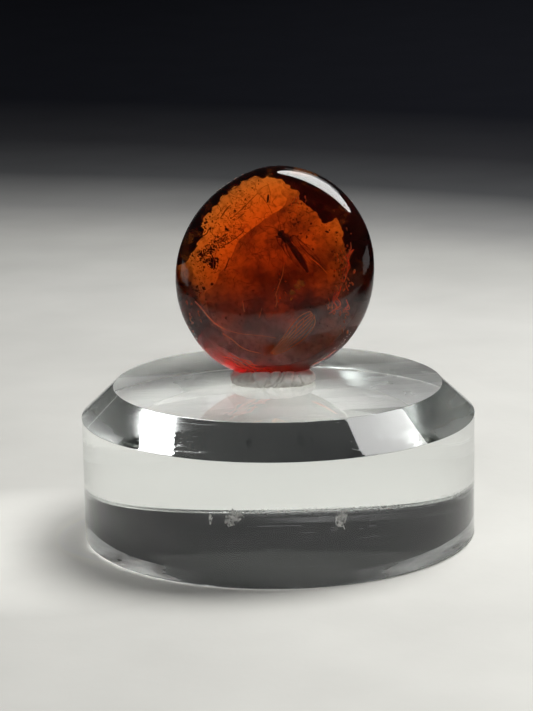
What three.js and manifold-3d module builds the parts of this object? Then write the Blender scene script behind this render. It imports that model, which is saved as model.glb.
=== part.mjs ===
// Polished amber cabochon standing on its edge in a pad of putty, on a clear bevelled display round.
// Millimetres, +Z up. Origin: centre of the round's underside. The stone's face looks along -Y and
// a little upwards, as the stone leans back in its putty.
import * as THREE from "three";
import { mergeVertices } from "three/addons/utils/BufferGeometryUtils.js";
import Module from "manifold-3d";

// Display round: a 50 mm disc cut from nominal 20 mm sheet, with a bevelled top edge.
const BASE_RADIUS = 25;
const BASE_HEIGHT = 19.5;
const BEVEL_WIDTH = 4.1;
const BEVEL_DEPTH = 3.8;
const EDGE_BREAK = 0.25;
const BASE_SIDES = 96;

// Stone: a lens with a nearly round outline. The radii run anticlockwise from +X, evenly spaced,
// as seen square to its face, about the stone's centre.
const STONE_CENTRE = new THREE.Vector3(-0.15, 3.0, 33.32);
const STONE_LEAN = 15;
const STONE_RADII = [12.7, 13.05, 13.46, 13.41, 12.6, 12.36, 12.64, 13.17, 13.75, 13.46, 13.14, 12.8];
const STONE_FRONT = 5.2;
const STONE_BACK = 4.6;
const STONE_MERIDIANS = 60;
const STONE_RINGS = 32;

// Putty: a short sausage pressed flat on the round, with a seat where the stone's edge sinks in.
const PUTTY_CENTRE_X = -0.6;
const PUTTY_CENTRE_Y = 0.5;
const PUTTY_HALF_LENGTH = 5.5;
const PUTTY_HALF_WIDTH = 4.2;
const PUTTY_TOP = 2.2;
const PUTTY_BULGE_HEIGHT = 0.5;
const PUTTY_SQUARENESS = 0.8;
const PUTTY_MERIDIANS = 40;
const PUTTY_RINGS = 20;
const SEAT_GAP = 0.3;

const FRONT_AXIS = new THREE.Vector3(1, 0, 0);
const UPRIGHT = Math.PI / 2;

const wasm = await Module();
wasm.setup();

// A closed three.js geometry as a solid that can be cut.
function toSolid(geometry) {
  const bare = geometry.clone();
  bare.deleteAttribute("normal");
  bare.deleteAttribute("uv");
  const merged = mergeVertices(bare, 1e-4);
  return new wasm.Manifold(
    new wasm.Mesh({
      numProp: 3,
      vertProperties: merged.attributes.position.array,
      triVerts: new Uint32Array(merged.index.array),
    }),
  );
}

// A cut solid back as a three.js geometry.
function toGeometry(solid) {
  const mesh = solid.getMesh();
  const geometry = new THREE.BufferGeometry();
  geometry.setAttribute("position", new THREE.BufferAttribute(mesh.vertProperties, 3));
  geometry.setIndex(new THREE.BufferAttribute(mesh.triVerts, 1));
  geometry.computeVertexNormals();
  return geometry;
}

// Distance from the stone's centre to its outline in a direction: a smooth closed curve through
// the radii, cubic between each pair of neighbours.
function outlineRadius(angle) {
  const count = STONE_RADII.length;
  const place = (angle / (2 * Math.PI)) * count + count;
  const start = Math.floor(place);
  const f = place - start;
  const [before, from, to, after] = [-1, 0, 1, 2].map((k) => STONE_RADII[(start + k + count) % count]);
  const slopeFrom = (to - before) / 2;
  const slopeTo = (after - from) / 2;
  const rise = to - from;
  return (
    from +
    slopeFrom * f +
    (3 * rise - 2 * slopeFrom - slopeTo) * f ** 2 +
    (slopeFrom + slopeTo - 2 * rise) * f ** 3
  );
}

// The lens, grown on every side by the given clearance.
function stoneGeometry(clearance) {
  const geometry = new THREE.SphereGeometry(1, STONE_MERIDIANS, STONE_RINGS);
  const position = geometry.attributes.position;
  for (let i = 0; i < position.count; i++) {
    const x = position.getX(i);
    const y = position.getY(i);
    const z = position.getZ(i);
    const angle = Math.atan2(z, x);
    const radius = (outlineRadius(angle) + clearance) * Math.hypot(x, z);
    const depth = (y < 0 ? STONE_FRONT : STONE_BACK) + clearance;
    position.setXYZ(i, radius * Math.cos(angle), depth * y, radius * Math.sin(angle));
  }
  geometry.rotateX(-THREE.MathUtils.degToRad(STONE_LEAN));
  geometry.translate(STONE_CENTRE.x, STONE_CENTRE.y, STONE_CENTRE.z);
  geometry.computeVertexNormals();
  return geometry;
}

// The pad before the stone is pressed in: an ellipsoid with squarer ends, flat where it sits.
function puttyBlank() {
  const geometry = new THREE.SphereGeometry(1, PUTTY_MERIDIANS, PUTTY_RINGS);
  geometry.applyMatrix4(new THREE.Matrix4().makeRotationX(UPRIGHT));
  const squared = (v) => Math.sign(v) * Math.abs(v) ** PUTTY_SQUARENESS;
  const position = geometry.attributes.position;
  for (let i = 0; i < position.count; i++) {
    const rise = PUTTY_BULGE_HEIGHT + (PUTTY_TOP - PUTTY_BULGE_HEIGHT) * position.getZ(i);
    position.setXYZ(
      i,
      PUTTY_HALF_LENGTH * squared(position.getX(i)),
      PUTTY_HALF_WIDTH * squared(position.getY(i)),
      Math.max(rise, 0),
    );
  }
  geometry.translate(PUTTY_CENTRE_X, PUTTY_CENTRE_Y, BASE_HEIGHT);
  return geometry;
}

// Half-section of the display round, from the axis out and back, with its sharp edges just broken.
function baseProfile() {
  const shoulder = BASE_HEIGHT - BEVEL_DEPTH;
  const faceRadius = BASE_RADIUS - BEVEL_WIDTH;
  return [
    new THREE.Vector2(0, 0),
    new THREE.Vector2(BASE_RADIUS - EDGE_BREAK, 0),
    new THREE.Vector2(BASE_RADIUS, EDGE_BREAK),
    new THREE.Vector2(BASE_RADIUS, shoulder),
    new THREE.Vector2(faceRadius, BASE_HEIGHT),
    new THREE.Vector2(0, BASE_HEIGHT),
  ];
}

function acrylicBase() {
  const geometry = new THREE.LatheGeometry(baseProfile(), BASE_SIDES);
  geometry.applyMatrix4(new THREE.Matrix4().makeRotationAxis(FRONT_AXIS, UPRIGHT));
  const material = new THREE.MeshStandardMaterial({
    color: 0xe4e8e6,
    roughness: 0.04,
    metalness: 0,
    transparent: true,
    opacity: 0.35,
  });
  const mesh = new THREE.Mesh(geometry, material);
  mesh.name = "acrylic_base";
  return mesh;
}

function amberCabochon() {
  const material = new THREE.MeshStandardMaterial({
    color: 0x7c2408,
    roughness: 0.08,
    metalness: 0,
    transparent: true,
    opacity: 0.85,
  });
  const mesh = new THREE.Mesh(stoneGeometry(0), material);
  mesh.name = "amber_cabochon";
  return mesh;
}

function puttyPad() {
  const seat = toSolid(stoneGeometry(SEAT_GAP));
  const pad = toSolid(puttyBlank()).subtract(seat);
  const material = new THREE.MeshStandardMaterial({ color: 0xb9b3a8, roughness: 0.75, metalness: 0 });
  const mesh = new THREE.Mesh(toGeometry(pad), material);
  mesh.name = "putty_pad";
  return mesh;
}

const insectInAmber = new THREE.Group();
insectInAmber.name = "insect_in_amber";
insectInAmber.add(acrylicBase(), puttyPad(), amberCabochon());

export default insectInAmber;
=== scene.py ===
"""Looks of an insect in amber: a polished stone on its edge in putty, on a clear bevelled display round."""

import logging
import math
import random
from dataclasses import dataclass, field
from enum import Enum
from typing import Sequence

import bmesh
import bpy
from mathutils import Euler, Matrix, Vector, noise


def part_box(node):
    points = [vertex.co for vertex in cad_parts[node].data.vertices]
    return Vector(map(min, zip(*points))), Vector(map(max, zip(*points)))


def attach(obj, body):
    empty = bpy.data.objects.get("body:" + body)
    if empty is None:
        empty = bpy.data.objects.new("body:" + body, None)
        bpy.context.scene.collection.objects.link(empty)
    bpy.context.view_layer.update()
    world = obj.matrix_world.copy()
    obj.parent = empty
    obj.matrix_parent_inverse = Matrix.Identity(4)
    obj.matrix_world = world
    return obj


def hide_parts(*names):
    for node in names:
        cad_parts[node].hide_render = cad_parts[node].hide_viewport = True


LOG = logging.getLogger("insect_in_amber")
MM = 0.001
ROOT = "root"
FADE = "fade"
NOISE_SEED = 4

Colour = tuple[float, float, float]
Point = tuple[float, float, float]
Spot = tuple[float, float]
Socket = bpy.types.NodeSocket


class Slot(Enum):
    """The record's material slots."""

    ACRYLIC = "acrylic"
    PUTTY = "putty"
    AMBER = "amber"


class Node(Enum):
    """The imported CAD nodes."""

    BASE = "acrylic_base"
    PUTTY = "putty_pad"
    STONE = "amber_cabochon"


class PanelShape(Enum):
    """The outlines that a light panel can have."""

    RECTANGLE = "RECTANGLE"
    ELLIPSE = "ELLIPSE"


# ---------------------------------------------------------------------------------------------
# Mesh helpers
# ---------------------------------------------------------------------------------------------


def finish_piece(
    name: str,
    bm: bmesh.types.BMesh,
    material: bpy.types.Material,
    smooth: bool = True,
    outward: bool = True,
) -> bpy.types.Object:
    """Turns a bmesh into a linked object that rides on the root body.

    Args:
        name: plain name of the piece.
        bm: the shape, in metres, in the row frame. It is freed here.
        material: the finish of the whole piece.
        smooth: shade the faces smooth.
        outward: recalculate the normals to point out, for a closed piece.

    Returns:
        The new object, at the origin, unturned and unscaled.
    """
    if outward:
        bmesh.ops.recalc_face_normals(bm, faces=bm.faces)
    mesh = bpy.data.meshes.new(name)
    bm.to_mesh(mesh)
    bm.free()
    if smooth:
        mesh.polygons.foreach_set("use_smooth", [True] * len(mesh.polygons))
    mesh.materials.append(material)
    piece = bpy.data.objects.new(name, mesh)
    bpy.context.scene.collection.objects.link(piece)
    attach(piece, ROOT)
    LOG.info("%s: %d faces", name, len(mesh.polygons))
    return piece


def curve_through(points: Sequence[Vector], steps: int) -> list[Vector]:
    """A smooth open curve through control points.

    Args:
        points: at least two control points.
        steps: pieces between each pair of neighbours.

    Returns:
        The points along the curve, ends included.
    """
    ends = [points[0] * 2 - points[1], *points, points[-1] * 2 - points[-2]]
    curve = []
    for before, near, far, after in zip(ends, ends[1:], ends[2:], ends[3:]):
        for k in range(steps):
            t = k / steps
            curve.append(
                near
                + (far - before) * (t / 2)
                + (before * 2 - near * 5 + far * 4 - after) * (t * t / 2)
                + (near * 3 - before - far * 3 + after) * (t**3 / 2)
            )
    return [*curve, points[-1].copy()]


def sweep(
    bm: bmesh.types.BMesh, path: Sequence[Vector], radii: float | Sequence[float], sides: int = 6
) -> None:
    """Extrudes a round tube with closed ends along a path.

    Args:
        bm: the shape that the tube is added to.
        path: the points along the tube's middle.
        radii: its radius, or one radius for each point.
        sides: faces round the tube.
    """
    widths = [radii] * len(path) if isinstance(radii, float) else list(radii)
    last = len(path) - 1
    headings = [(path[min(i + 1, last)] - path[max(i - 1, 0)]).normalized() for i in range(last + 1)]
    turn = Vector((0, 0, 1)).rotation_difference(headings[0]).to_matrix().to_4x4()
    ring = bmesh.ops.create_circle(
        bm,
        cap_ends=True,
        segments=sides,
        radius=widths[0],
        matrix=Matrix.Translation(path[0]) @ turn,
    )["verts"]
    edges = list(dict.fromkeys(edge for vert in ring for edge in vert.link_edges))
    for i in range(last):
        made = bmesh.ops.extrude_edge_only(bm, edges=edges)["geom"]
        ring = [g for g in made if isinstance(g, bmesh.types.BMVert)]
        edges = [g for g in made if isinstance(g, bmesh.types.BMEdge)]
        turn = headings[i].rotation_difference(headings[i + 1]).to_matrix().to_4x4()
        step = (
            Matrix.Translation(path[i + 1])
            @ turn
            @ Matrix.Scale(widths[i + 1] / widths[i], 4)
            @ Matrix.Translation(-path[i])
        )
        bmesh.ops.transform(bm, matrix=step, verts=ring)
    bmesh.ops.contextual_create(bm, geom=edges)


def along(curve: Sequence[Vector], share: float) -> Vector:
    """A point part of the way along a curve.

    Args:
        curve: the curve's points.
        share: how far along it, 0 to 1.

    Returns:
        The point.
    """
    place = min(max(share, 0.0), 1.0) * (len(curve) - 1)
    start = min(int(place), len(curve) - 2)
    return curve[start].lerp(curve[start + 1], place - start)


def loft(
    bm: bmesh.types.BMesh, start: Sequence[Vector], end: Sequence[Vector], columns: int, rows: int
) -> list[bmesh.types.BMVert]:
    """Adds a sheet stretched between two curves.

    Args:
        bm: the shape that the sheet is added to.
        start: points along one edge.
        end: points along the opposite edge.
        columns: squares along the edges.
        rows: squares from one edge to the other.

    Returns:
        The sheet's vertices.
    """
    made = bmesh.ops.create_grid(bm, x_segments=columns, y_segments=rows, size=1.0)["verts"]
    for vert in made:
        share, over = (vert.co.x + 1) / 2, (vert.co.y + 1) / 2
        vert.co = along(start, share).lerp(along(end, share), over)
    return made


def lump(
    bm: bmesh.types.BMesh,
    centre: Vector,
    size: Vector,
    turn: Euler,
    fineness: int = 1,
    roughness: float = 0.0,
) -> None:
    """Adds a rounded or ragged lump.

    Args:
        bm: the shape that the lump is added to.
        centre: its middle.
        size: its half sizes.
        turn: how it lies.
        fineness: subdivisions of the ball it starts from.
        roughness: how far its surface is pushed in and out, as a share of its size.
    """
    place = Matrix.Translation(centre) @ turn.to_matrix().to_4x4() @ Matrix.Diagonal((*size, 1.0))
    ball = bmesh.ops.create_icosphere(bm, subdivisions=fineness, radius=1.0)["verts"]
    for vert in ball:
        push = 1.0 + roughness * noise.noise(vert.co * 1.7 + centre / MM)
        vert.co = place @ (vert.co * push)


# ---------------------------------------------------------------------------------------------
# Shader helpers
# ---------------------------------------------------------------------------------------------


class NodeTree:
    """A thin wrapper that adds, sets and links shader nodes."""

    def __init__(self, tree: bpy.types.NodeTree) -> None:
        """Keeps the tree and clears it."""
        self.tree = tree
        tree.nodes.clear()

    def add(self, kind: str, inputs: dict | None = None, **settings: object) -> bpy.types.Node:
        """Adds a node.

        Args:
            kind: the node's class name, such as ShaderNodeTexNoise.
            inputs: values or output sockets by input name or index.
            settings: attributes of the node.

        Returns:
            The new node.
        """
        node = self.tree.nodes.new(kind)
        for key, value in settings.items():
            setattr(node, key, value)
        for key, value in (inputs or {}).items():
            socket = node.inputs[key]
            if isinstance(value, Socket):
                self.tree.links.new(value, socket)
            else:
                socket.default_value = value
        return node

    def link(self, source: Socket, target: Socket) -> None:
        """Links an output to an input."""
        self.tree.links.new(source, target)

    def where(self) -> Socket:
        """The point on the piece, in metres."""
        return self.add("ShaderNodeTexCoord").outputs["Object"]

    def noise(self, vector: Socket, scale: float, detail: float = 3.0) -> Socket:
        """A cloudy value.

        Args:
            vector: where it is read.
            scale: blobs per metre.
            detail: octaves.

        Returns:
            The value, about 0.5 on average.
        """
        node = self.add("ShaderNodeTexNoise", {"Vector": vector, "Scale": scale, "Detail": detail})
        return node.outputs["Fac"]

    def remap(
        self,
        value: Socket,
        low: float,
        high: float,
        to_low: float = 0.0,
        to_high: float = 1.0,
    ) -> Socket:
        """A clamped linear map of a value from one range to another.

        Args:
            value: what is mapped.
            low: the value that gives to_low.
            high: the value that gives to_high. It may be below low.
            to_low: result at low.
            to_high: result at high.

        Returns:
            The mapped value.
        """
        node = self.add(
            "ShaderNodeMapRange",
            {"Value": value, "From Min": low, "From Max": high, "To Min": to_low, "To Max": to_high},
        )
        return node.outputs["Result"]

    def math(
        self,
        operation: str,
        first: Socket | float,
        second: Socket | float = 0.0,
    ) -> Socket:
        """The result of a sum on one or two values."""
        return self.add("ShaderNodeMath", {0: first, 1: second}, operation=operation).outputs[0]

    def product(self, *values: Socket | float) -> Socket:
        """The product of two or more values.

        Args:
            values: what is multiplied, in order.

        Returns:
            The product.
        """
        result = values[0]
        for value in values[1:]:
            result = self.math("MULTIPLY", result, value)
        return result

    def total(self, *values: Socket | float) -> Socket:
        """The sum of two or more values.

        Args:
            values: what is added, in order.

        Returns:
            The sum.
        """
        result = values[0]
        for value in values[1:]:
            result = self.math("ADD", result, value)
        return result

    def axes(self, vector: Socket) -> tuple[Socket, ...]:
        """The X, Y and Z of a vector."""
        return tuple(self.add("ShaderNodeSeparateXYZ", {"Vector": vector}).outputs)

    def distance(self, vector: Socket, middle: Point) -> Socket:
        """How far a vector is from a fixed point."""
        node = self.add("ShaderNodeVectorMath", {0: vector, 1: middle}, operation="DISTANCE")
        return node.outputs["Value"]

    def grey(self, value: Socket) -> Socket:
        """The same value in all three channels."""
        return self.add("ShaderNodeCombineXYZ", {"X": value, "Y": value, "Z": value}).outputs["Vector"]

    def ramp(
        self, value: Socket, stops: Sequence[tuple[float, Colour]]
    ) -> Socket:
        """A colour ramp.

        Args:
            value: what drives it.
            stops: positions and colours, in order.

        Returns:
            The colour.
        """
        node = self.add("ShaderNodeValToRGB", {"Fac": value})
        elements = node.color_ramp.elements
        while len(elements) < len(stops):
            elements.new(0.5)
        for element, (place, colour) in zip(elements, stops):
            element.position = place
            element.color = rgba(colour)
        return node.outputs["Color"]

    def bump(self, height: Socket, distance: float, strength: float = 1.0) -> Socket:
        """A surface normal from a height.

        Args:
            height: the height, usually 0 to 1.
            distance: how high 1 stands, in metres.
            strength: how much of it shows.

        Returns:
            The normal.
        """
        node = self.add(
            "ShaderNodeBump", {"Height": height, "Distance": distance, "Strength": strength}
        )
        return node.outputs["Normal"]

    def group(self, tree: bpy.types.NodeTree, inputs: dict) -> bpy.types.Node:
        """Places a node group.

        Args:
            tree: the group.
            inputs: values or output sockets by input name.

        Returns:
            The group's node.
        """
        node = self.tree.nodes.new("ShaderNodeGroup")
        node.node_tree = tree
        for key, value in inputs.items():
            if isinstance(value, Socket):
                self.tree.links.new(value, node.inputs[key])
            else:
                node.inputs[key].default_value = value
        return node

    def surface(self, inputs: dict, volume: dict | None = None) -> None:
        """Adds the shader and the output.

        Args:
            inputs: values or output sockets of the Principled shader.
            volume: colour and density of what the body absorbs, for a clear piece.
        """
        shader = self.add("ShaderNodeBsdfPrincipled", inputs)
        output = self.add("ShaderNodeOutputMaterial")
        self.link(shader.outputs["BSDF"], output.inputs["Surface"])
        if volume:
            body = self.add("ShaderNodeVolumeAbsorption", volume)
            self.link(body.outputs["Volume"], output.inputs["Volume"])


def new_material(name: str) -> tuple[bpy.types.Material, NodeTree]:
    """Makes an empty node material.

    Args:
        name: plain name of the finish.

    Returns:
        The material and its wrapped node tree.
    """
    material = bpy.data.materials.new(name)
    material.use_nodes = True
    return material, NodeTree(material.node_tree)


def rgba(colour: Colour) -> tuple[float, float, float, float]:
    """A colour with full alpha."""
    return (*colour, 1.0)


class Effects:
    """Shader groups that more than one finish uses."""

    SCRATCH_TURNS = ((0.3, 0.2, 0.5), (0.9, -0.4, 2.1), (-0.5, 0.8, 3.6))
    STRETCH = 0.035
    SCRATCH_SOFTNESS = 0.03
    LARGEST_SPECK = 0.22

    def __init__(self) -> None:
        """Builds the groups once."""
        self.scratches = self._scratches()
        self.dust = self._dust()

    def _new(self, name: str, inputs: Sequence[tuple[str, str]], outputs: Sequence[str]) -> NodeTree:
        """An empty group.

        Args:
            name: the group's name.
            inputs: names and kinds of its inputs.
            outputs: names of its values out.

        Returns:
            The group's wrapped tree.
        """
        tree = bpy.data.node_groups.new(name, "ShaderNodeTree")
        for label, kind in inputs:
            tree.interface.new_socket(label, in_out="INPUT", socket_type=f"NodeSocket{kind}")
        for label in outputs:
            tree.interface.new_socket(label, in_out="OUTPUT", socket_type="NodeSocketFloat")
        return NodeTree(tree)

    def _scratches(self) -> bpy.types.NodeTree:
        """Fine straight scratches in three directions.

        Returns:
            The group.
        """
        nodes = self._new(
            "fine_scratches",
            [("Vector", "Vector"), ("Scale", "Float"), ("Sparseness", "Float")],
            ["Mask"],
        )
        entry = nodes.add("NodeGroupInput")
        lines = []
        for turn in self.SCRATCH_TURNS:
            spot = nodes.add(
                "ShaderNodeMapping",
                {"Vector": entry.outputs["Vector"], "Rotation": turn, "Scale": (self.STRETCH, 1.0, 1.0)},
            )
            cloud = nodes.add(
                "ShaderNodeTexNoise",
                {"Vector": spot.outputs["Vector"], "Scale": entry.outputs["Scale"], "Detail": 1.0},
            )
            over = nodes.math("SUBTRACT", cloud.outputs["Fac"], entry.outputs["Sparseness"])
            lines.append(nodes.remap(over, 0.0, self.SCRATCH_SOFTNESS))
        both = nodes.math("MAXIMUM", lines[0], lines[1])
        exit_node = nodes.add("NodeGroupOutput")
        nodes.link(nodes.math("MAXIMUM", both, lines[2]), exit_node.inputs["Mask"])
        return nodes.tree

    def _dust(self) -> bpy.types.NodeTree:
        """Scattered small specks.

        Returns:
            The group.
        """
        nodes = self._new(
            "dust_specks", [("Vector", "Vector"), ("Scale", "Float"), ("Cover", "Float")], ["Mask"]
        )
        entry = nodes.add("NodeGroupInput")
        cells = nodes.add(
            "ShaderNodeTexVoronoi", {"Vector": entry.outputs["Vector"], "Scale": entry.outputs["Scale"]}
        )
        chance = nodes.add("ShaderNodeSeparateColor", {"Color": cells.outputs["Color"]})
        picked = nodes.math("LESS_THAN", chance.outputs["Red"], entry.outputs["Cover"])
        size = nodes.math("MULTIPLY", chance.outputs["Green"], self.LARGEST_SPECK)
        near = nodes.math("LESS_THAN", cells.outputs["Distance"], size)
        exit_node = nodes.add("NodeGroupOutput")
        nodes.link(nodes.math("MULTIPLY", picked, near), exit_node.inputs["Mask"])
        return nodes.tree


# ---------------------------------------------------------------------------------------------
# Finishes
# ---------------------------------------------------------------------------------------------


@dataclass(frozen=True)
class ClearAcrylic:
    """Clear acrylic of the display round: handled, turned on its bevel, sawn and ground at its foot."""

    effects: Effects
    ior: float = 1.49
    absorbed: Colour = (0.86, 0.93, 0.90)
    density: float = 7.0
    relief: float = 0.010 * MM
    wall: tuple[float, float] = (24.60 * MM, 24.74 * MM)
    sawn_height: tuple[float, float] = (0.8 * MM, 0.2 * MM)
    sawn_depth: float = 12.0
    sawn_roughness: float = 0.8
    shoulder: float = 15.7 * MM
    face_edge: tuple[float, float] = (20.85 * MM, 21.00 * MM)
    ring_grain: float = 1500.0
    ring_drift: float = 0.06
    ground_from: float = 16.6 * MM
    ground_band: float = 0.8 * MM
    ground_sides: tuple[float, float] = (8.0 * MM, 15.0 * MM)
    ground_middle: float = 0.12
    ground_roughness: tuple[float, float] = (0.25, 0.55)

    def _marks(self, nodes: NodeTree, scale: float, sparseness: float) -> Socket:
        """Mask of one size of handling scratches.

        Args:
            nodes: the finish's nodes.
            scale: how fine they are.
            sparseness: how few they are.

        Returns:
            The mask.
        """
        inputs = {"Vector": nodes.where(), "Scale": scale, "Sparseness": sparseness}
        return nodes.group(self.effects.scratches, inputs).outputs["Mask"]

    def _sawn(self, nodes: NodeTree, reach: Socket, up: Socket) -> Socket:
        """Saw marks left on parts of the wall's foot.

        Args:
            nodes: the finish's nodes.
            reach: distance from the round's axis.
            up: height above its underside.

        Returns:
            Their height, 0 away from them.
        """
        low = nodes.remap(up, *self.sawn_height)
        patches = nodes.remap(nodes.noise(nodes.where(), 60.0, 1.0), 0.44, 0.58)
        side = nodes.product(nodes.remap(reach, *self.wall), patches)
        return nodes.product(nodes.noise(nodes.where(), 5200.0, 4.0), nodes.product(low, side))

    def _rings(self, nodes: NodeTree, reach: Socket, across: Socket, up: Socket) -> Socket:
        """Turned rings on the bevel.

        Args:
            nodes: the finish's nodes.
            reach: distance from the round's axis.
            across: distance to the right.
            up: height above the underside.

        Returns:
            Their height, 0 away from the bevel.
        """
        drift = nodes.product(across, self.ring_drift)
        ring = nodes.add("ShaderNodeCombineXYZ", {"X": reach, "Y": drift, "Z": up})
        rings = nodes.noise(ring.outputs["Vector"], self.ring_grain, 3.0)
        above = nodes.remap(up, self.shoulder, self.shoulder + 0.2 * MM)
        return nodes.product(rings, nodes.product(above, nodes.remap(reach, *self.face_edge)))

    def _ground(self, nodes: NodeTree, reach: Socket, across: Socket, up: Socket) -> Socket:
        """Roughness of the patchy ring ground into the underside, mostly at its sides.

        Args:
            nodes: the finish's nodes.
            reach: distance from the round's axis.
            across: distance to the right.
            up: height above the underside.

        Returns:
            The roughness, 0 away from the ring.
        """
        under = nodes.math("LESS_THAN", up, 0.05 * MM)
        band = nodes.remap(reach, self.ground_from, self.ground_from + self.ground_band)
        ring = nodes.product(band, under)
        sides = nodes.remap(nodes.math("ABSOLUTE", across), *self.ground_sides, self.ground_middle, 1.0)
        patchy = nodes.remap(nodes.noise(nodes.where(), 160.0, 4.0), 0.35, 0.65, *self.ground_roughness)
        return nodes.product(nodes.product(ring, sides), patchy)

    def build(self) -> bpy.types.Material:
        """Makes the finish.

        Returns:
            The acrylic.
        """
        material, nodes = new_material("clear_acrylic")
        across, _, up = nodes.axes(nodes.where())
        flat = nodes.add(
            "ShaderNodeVectorMath", {0: nodes.where(), 1: (1.0, 1.0, 0.0)}, operation="MULTIPLY"
        ).outputs[0]
        reach = nodes.add("ShaderNodeVectorMath", {0: flat}, operation="LENGTH").outputs["Value"]
        fine, broad = self._marks(nodes, 2600.0, 0.72), self._marks(nodes, 900.0, 0.80)
        drawn = nodes.add("ShaderNodeMapping", {"Vector": nodes.where(), "Scale": (1.0, 1.0, 0.02)})
        streaks = nodes.noise(drawn.outputs["Vector"], 420.0, 2.0)
        sawn = self._sawn(nodes, reach, up)
        height = nodes.total(
            nodes.product(fine, 0.10),
            nodes.product(broad, 0.16),
            nodes.product(streaks, 0.02),
            nodes.product(sawn, self.sawn_depth),
            nodes.product(self._rings(nodes, reach, across, up), 0.35),
        )
        rough = nodes.total(
            nodes.product(fine, 0.03),
            nodes.product(sawn, self.sawn_roughness),
            self._ground(nodes, reach, across, up),
        )
        nodes.surface(
            {
                "Base Color": rgba((1.0, 1.0, 1.0)),
                "Roughness": rough,
                "IOR": self.ior,
                "Transmission Weight": 1.0,
                "Normal": nodes.bump(height, self.relief),
            },
            {"Color": rgba(self.absorbed), "Density": self.density},
        )
        return material


@dataclass(frozen=True)
class RedAmber:
    """Hand-polished dark red-brown amber, left ground on its back."""

    effects: Effects
    centre: Vector
    rearward: Vector
    ior: float = 1.54
    absorbed: Colour = (0.975, 0.590, 0.0)
    density: float = 705.0
    relief: float = 0.006 * MM
    back_from: float = 0.4 * MM
    back_full: float = 1.4 * MM
    back_roughness: tuple[float, float] = (0.38, 0.55)

    def build(self) -> bpy.types.Material:
        """Makes the finish.

        Returns:
            The amber.
        """
        material, nodes = new_material("red_amber")
        where = nodes.where()
        marks = nodes.group(
            self.effects.scratches, {"Vector": where, "Scale": 3400.0, "Sparseness": 0.68}
        ).outputs["Mask"]
        height = nodes.total(nodes.product(marks, 0.12), nodes.noise(where, 700.0, 2.0))
        reach = nodes.add(
            "ShaderNodeVectorMath", {0: where, 1: self.rearward}, operation="DOT_PRODUCT"
        ).outputs["Value"]
        start = self.centre.dot(self.rearward)
        back = nodes.remap(reach, start + self.back_from, start + self.back_full)
        patchy = nodes.remap(nodes.noise(where, 350.0, 3.0), 0.35, 0.65, *self.back_roughness)
        nodes.surface(
            {
                "Base Color": rgba((1.0, 1.0, 1.0)),
                "Roughness": nodes.total(nodes.product(marks, 0.05), nodes.product(back, patchy)),
                "IOR": self.ior,
                "Transmission Weight": 1.0,
                "Normal": nodes.bump(height, self.relief),
            },
            {"Color": rgba(self.absorbed), "Density": self.density},
        )
        return material


@dataclass(frozen=True)
class Putty:
    """Kneaded grey-white museum putty, blotchy with grime and flecked with dark sunken specks, its surface
    creased.
    """

    effects: Effects
    grimy: Colour = (0.64, 0.60, 0.54)
    pale: Colour = (0.86, 0.83, 0.77)
    cleanest: Colour = (0.92, 0.90, 0.86)
    pit: Colour = (0.16, 0.13, 0.10)
    relief: float = 0.12 * MM

    def build(self) -> bpy.types.Material:
        """Makes the finish.

        Returns:
            The putty.
        """
        material, nodes = new_material("kneaded_putty")
        where = nodes.where()
        cloud = nodes.noise(where, 900.0, 4.0)
        pits = nodes.group(
            self.effects.dust, {"Vector": where, "Scale": 2300.0, "Cover": 0.16}
        ).outputs["Mask"]
        tone = nodes.ramp(cloud, [(0.30, self.grimy), (0.52, self.pale), (0.75, self.cleanest)])
        dark = nodes.add(
            "ShaderNodeMixRGB", {"Fac": pits, "Color1": tone, "Color2": rgba(self.pit)}
        )
        creases = nodes.add(
            "ShaderNodeMapping", {"Vector": where, "Rotation": (0.0, 0.9, 0.4), "Scale": (1, 0.3, 0.3)}
        )
        folds = nodes.noise(creases.outputs["Vector"], 1500.0, 5.0)
        height = nodes.math("SUBTRACT", folds, nodes.product(pits, 0.8))
        nodes.surface(
            {
                "Base Color": dark.outputs[0],
                "Roughness": nodes.remap(cloud, 0.3, 0.7, 0.5, 0.75),
                "Normal": nodes.bump(height, self.relief, 0.7),
            }
        )
        return material


@dataclass(frozen=True)
class SealedMatter:
    """Something sealed in the stone, or dried onto a surface: a cloudy tone, opaque or half clear.

    Cover is its opacity where its cloud is thin and where it is thick, and spread is the stretch of
    the cloud that the cover runs over. With fading, its rim thins out by the piece's fade attribute.
    """

    name: str
    dark: Colour
    light: Colour
    grain: float = 900.0
    roughness: float = 0.5
    cover: tuple[float, float] = (1.0, 1.0)
    relief: float = 0.0
    metallic: float = 0.0
    fading: bool = False
    spread: tuple[float, float] = (0.30, 0.70)

    def build(self) -> bpy.types.Material:
        """Makes the finish.

        Returns:
            The material.
        """
        material, nodes = new_material(self.name)
        cloud = nodes.noise(nodes.where(), self.grain, 4.0)
        inputs = {
            "Base Color": nodes.ramp(cloud, [(0.32, self.dark), (0.68, self.light)]),
            "Roughness": self.roughness,
            "Metallic": self.metallic,
        }
        if self.cover != (1.0, 1.0):
            cover = nodes.remap(cloud, *self.spread, *self.cover)
            if self.fading:
                edge = nodes.add("ShaderNodeAttribute", attribute_name=FADE).outputs["Fac"]
                cover = nodes.product(cover, edge)
            inputs["Alpha"] = cover
        if self.relief:
            inputs["Normal"] = nodes.bump(nodes.noise(nodes.where(), self.grain * 2.2, 3.0), self.relief)
        nodes.surface(inputs)
        return material


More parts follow.
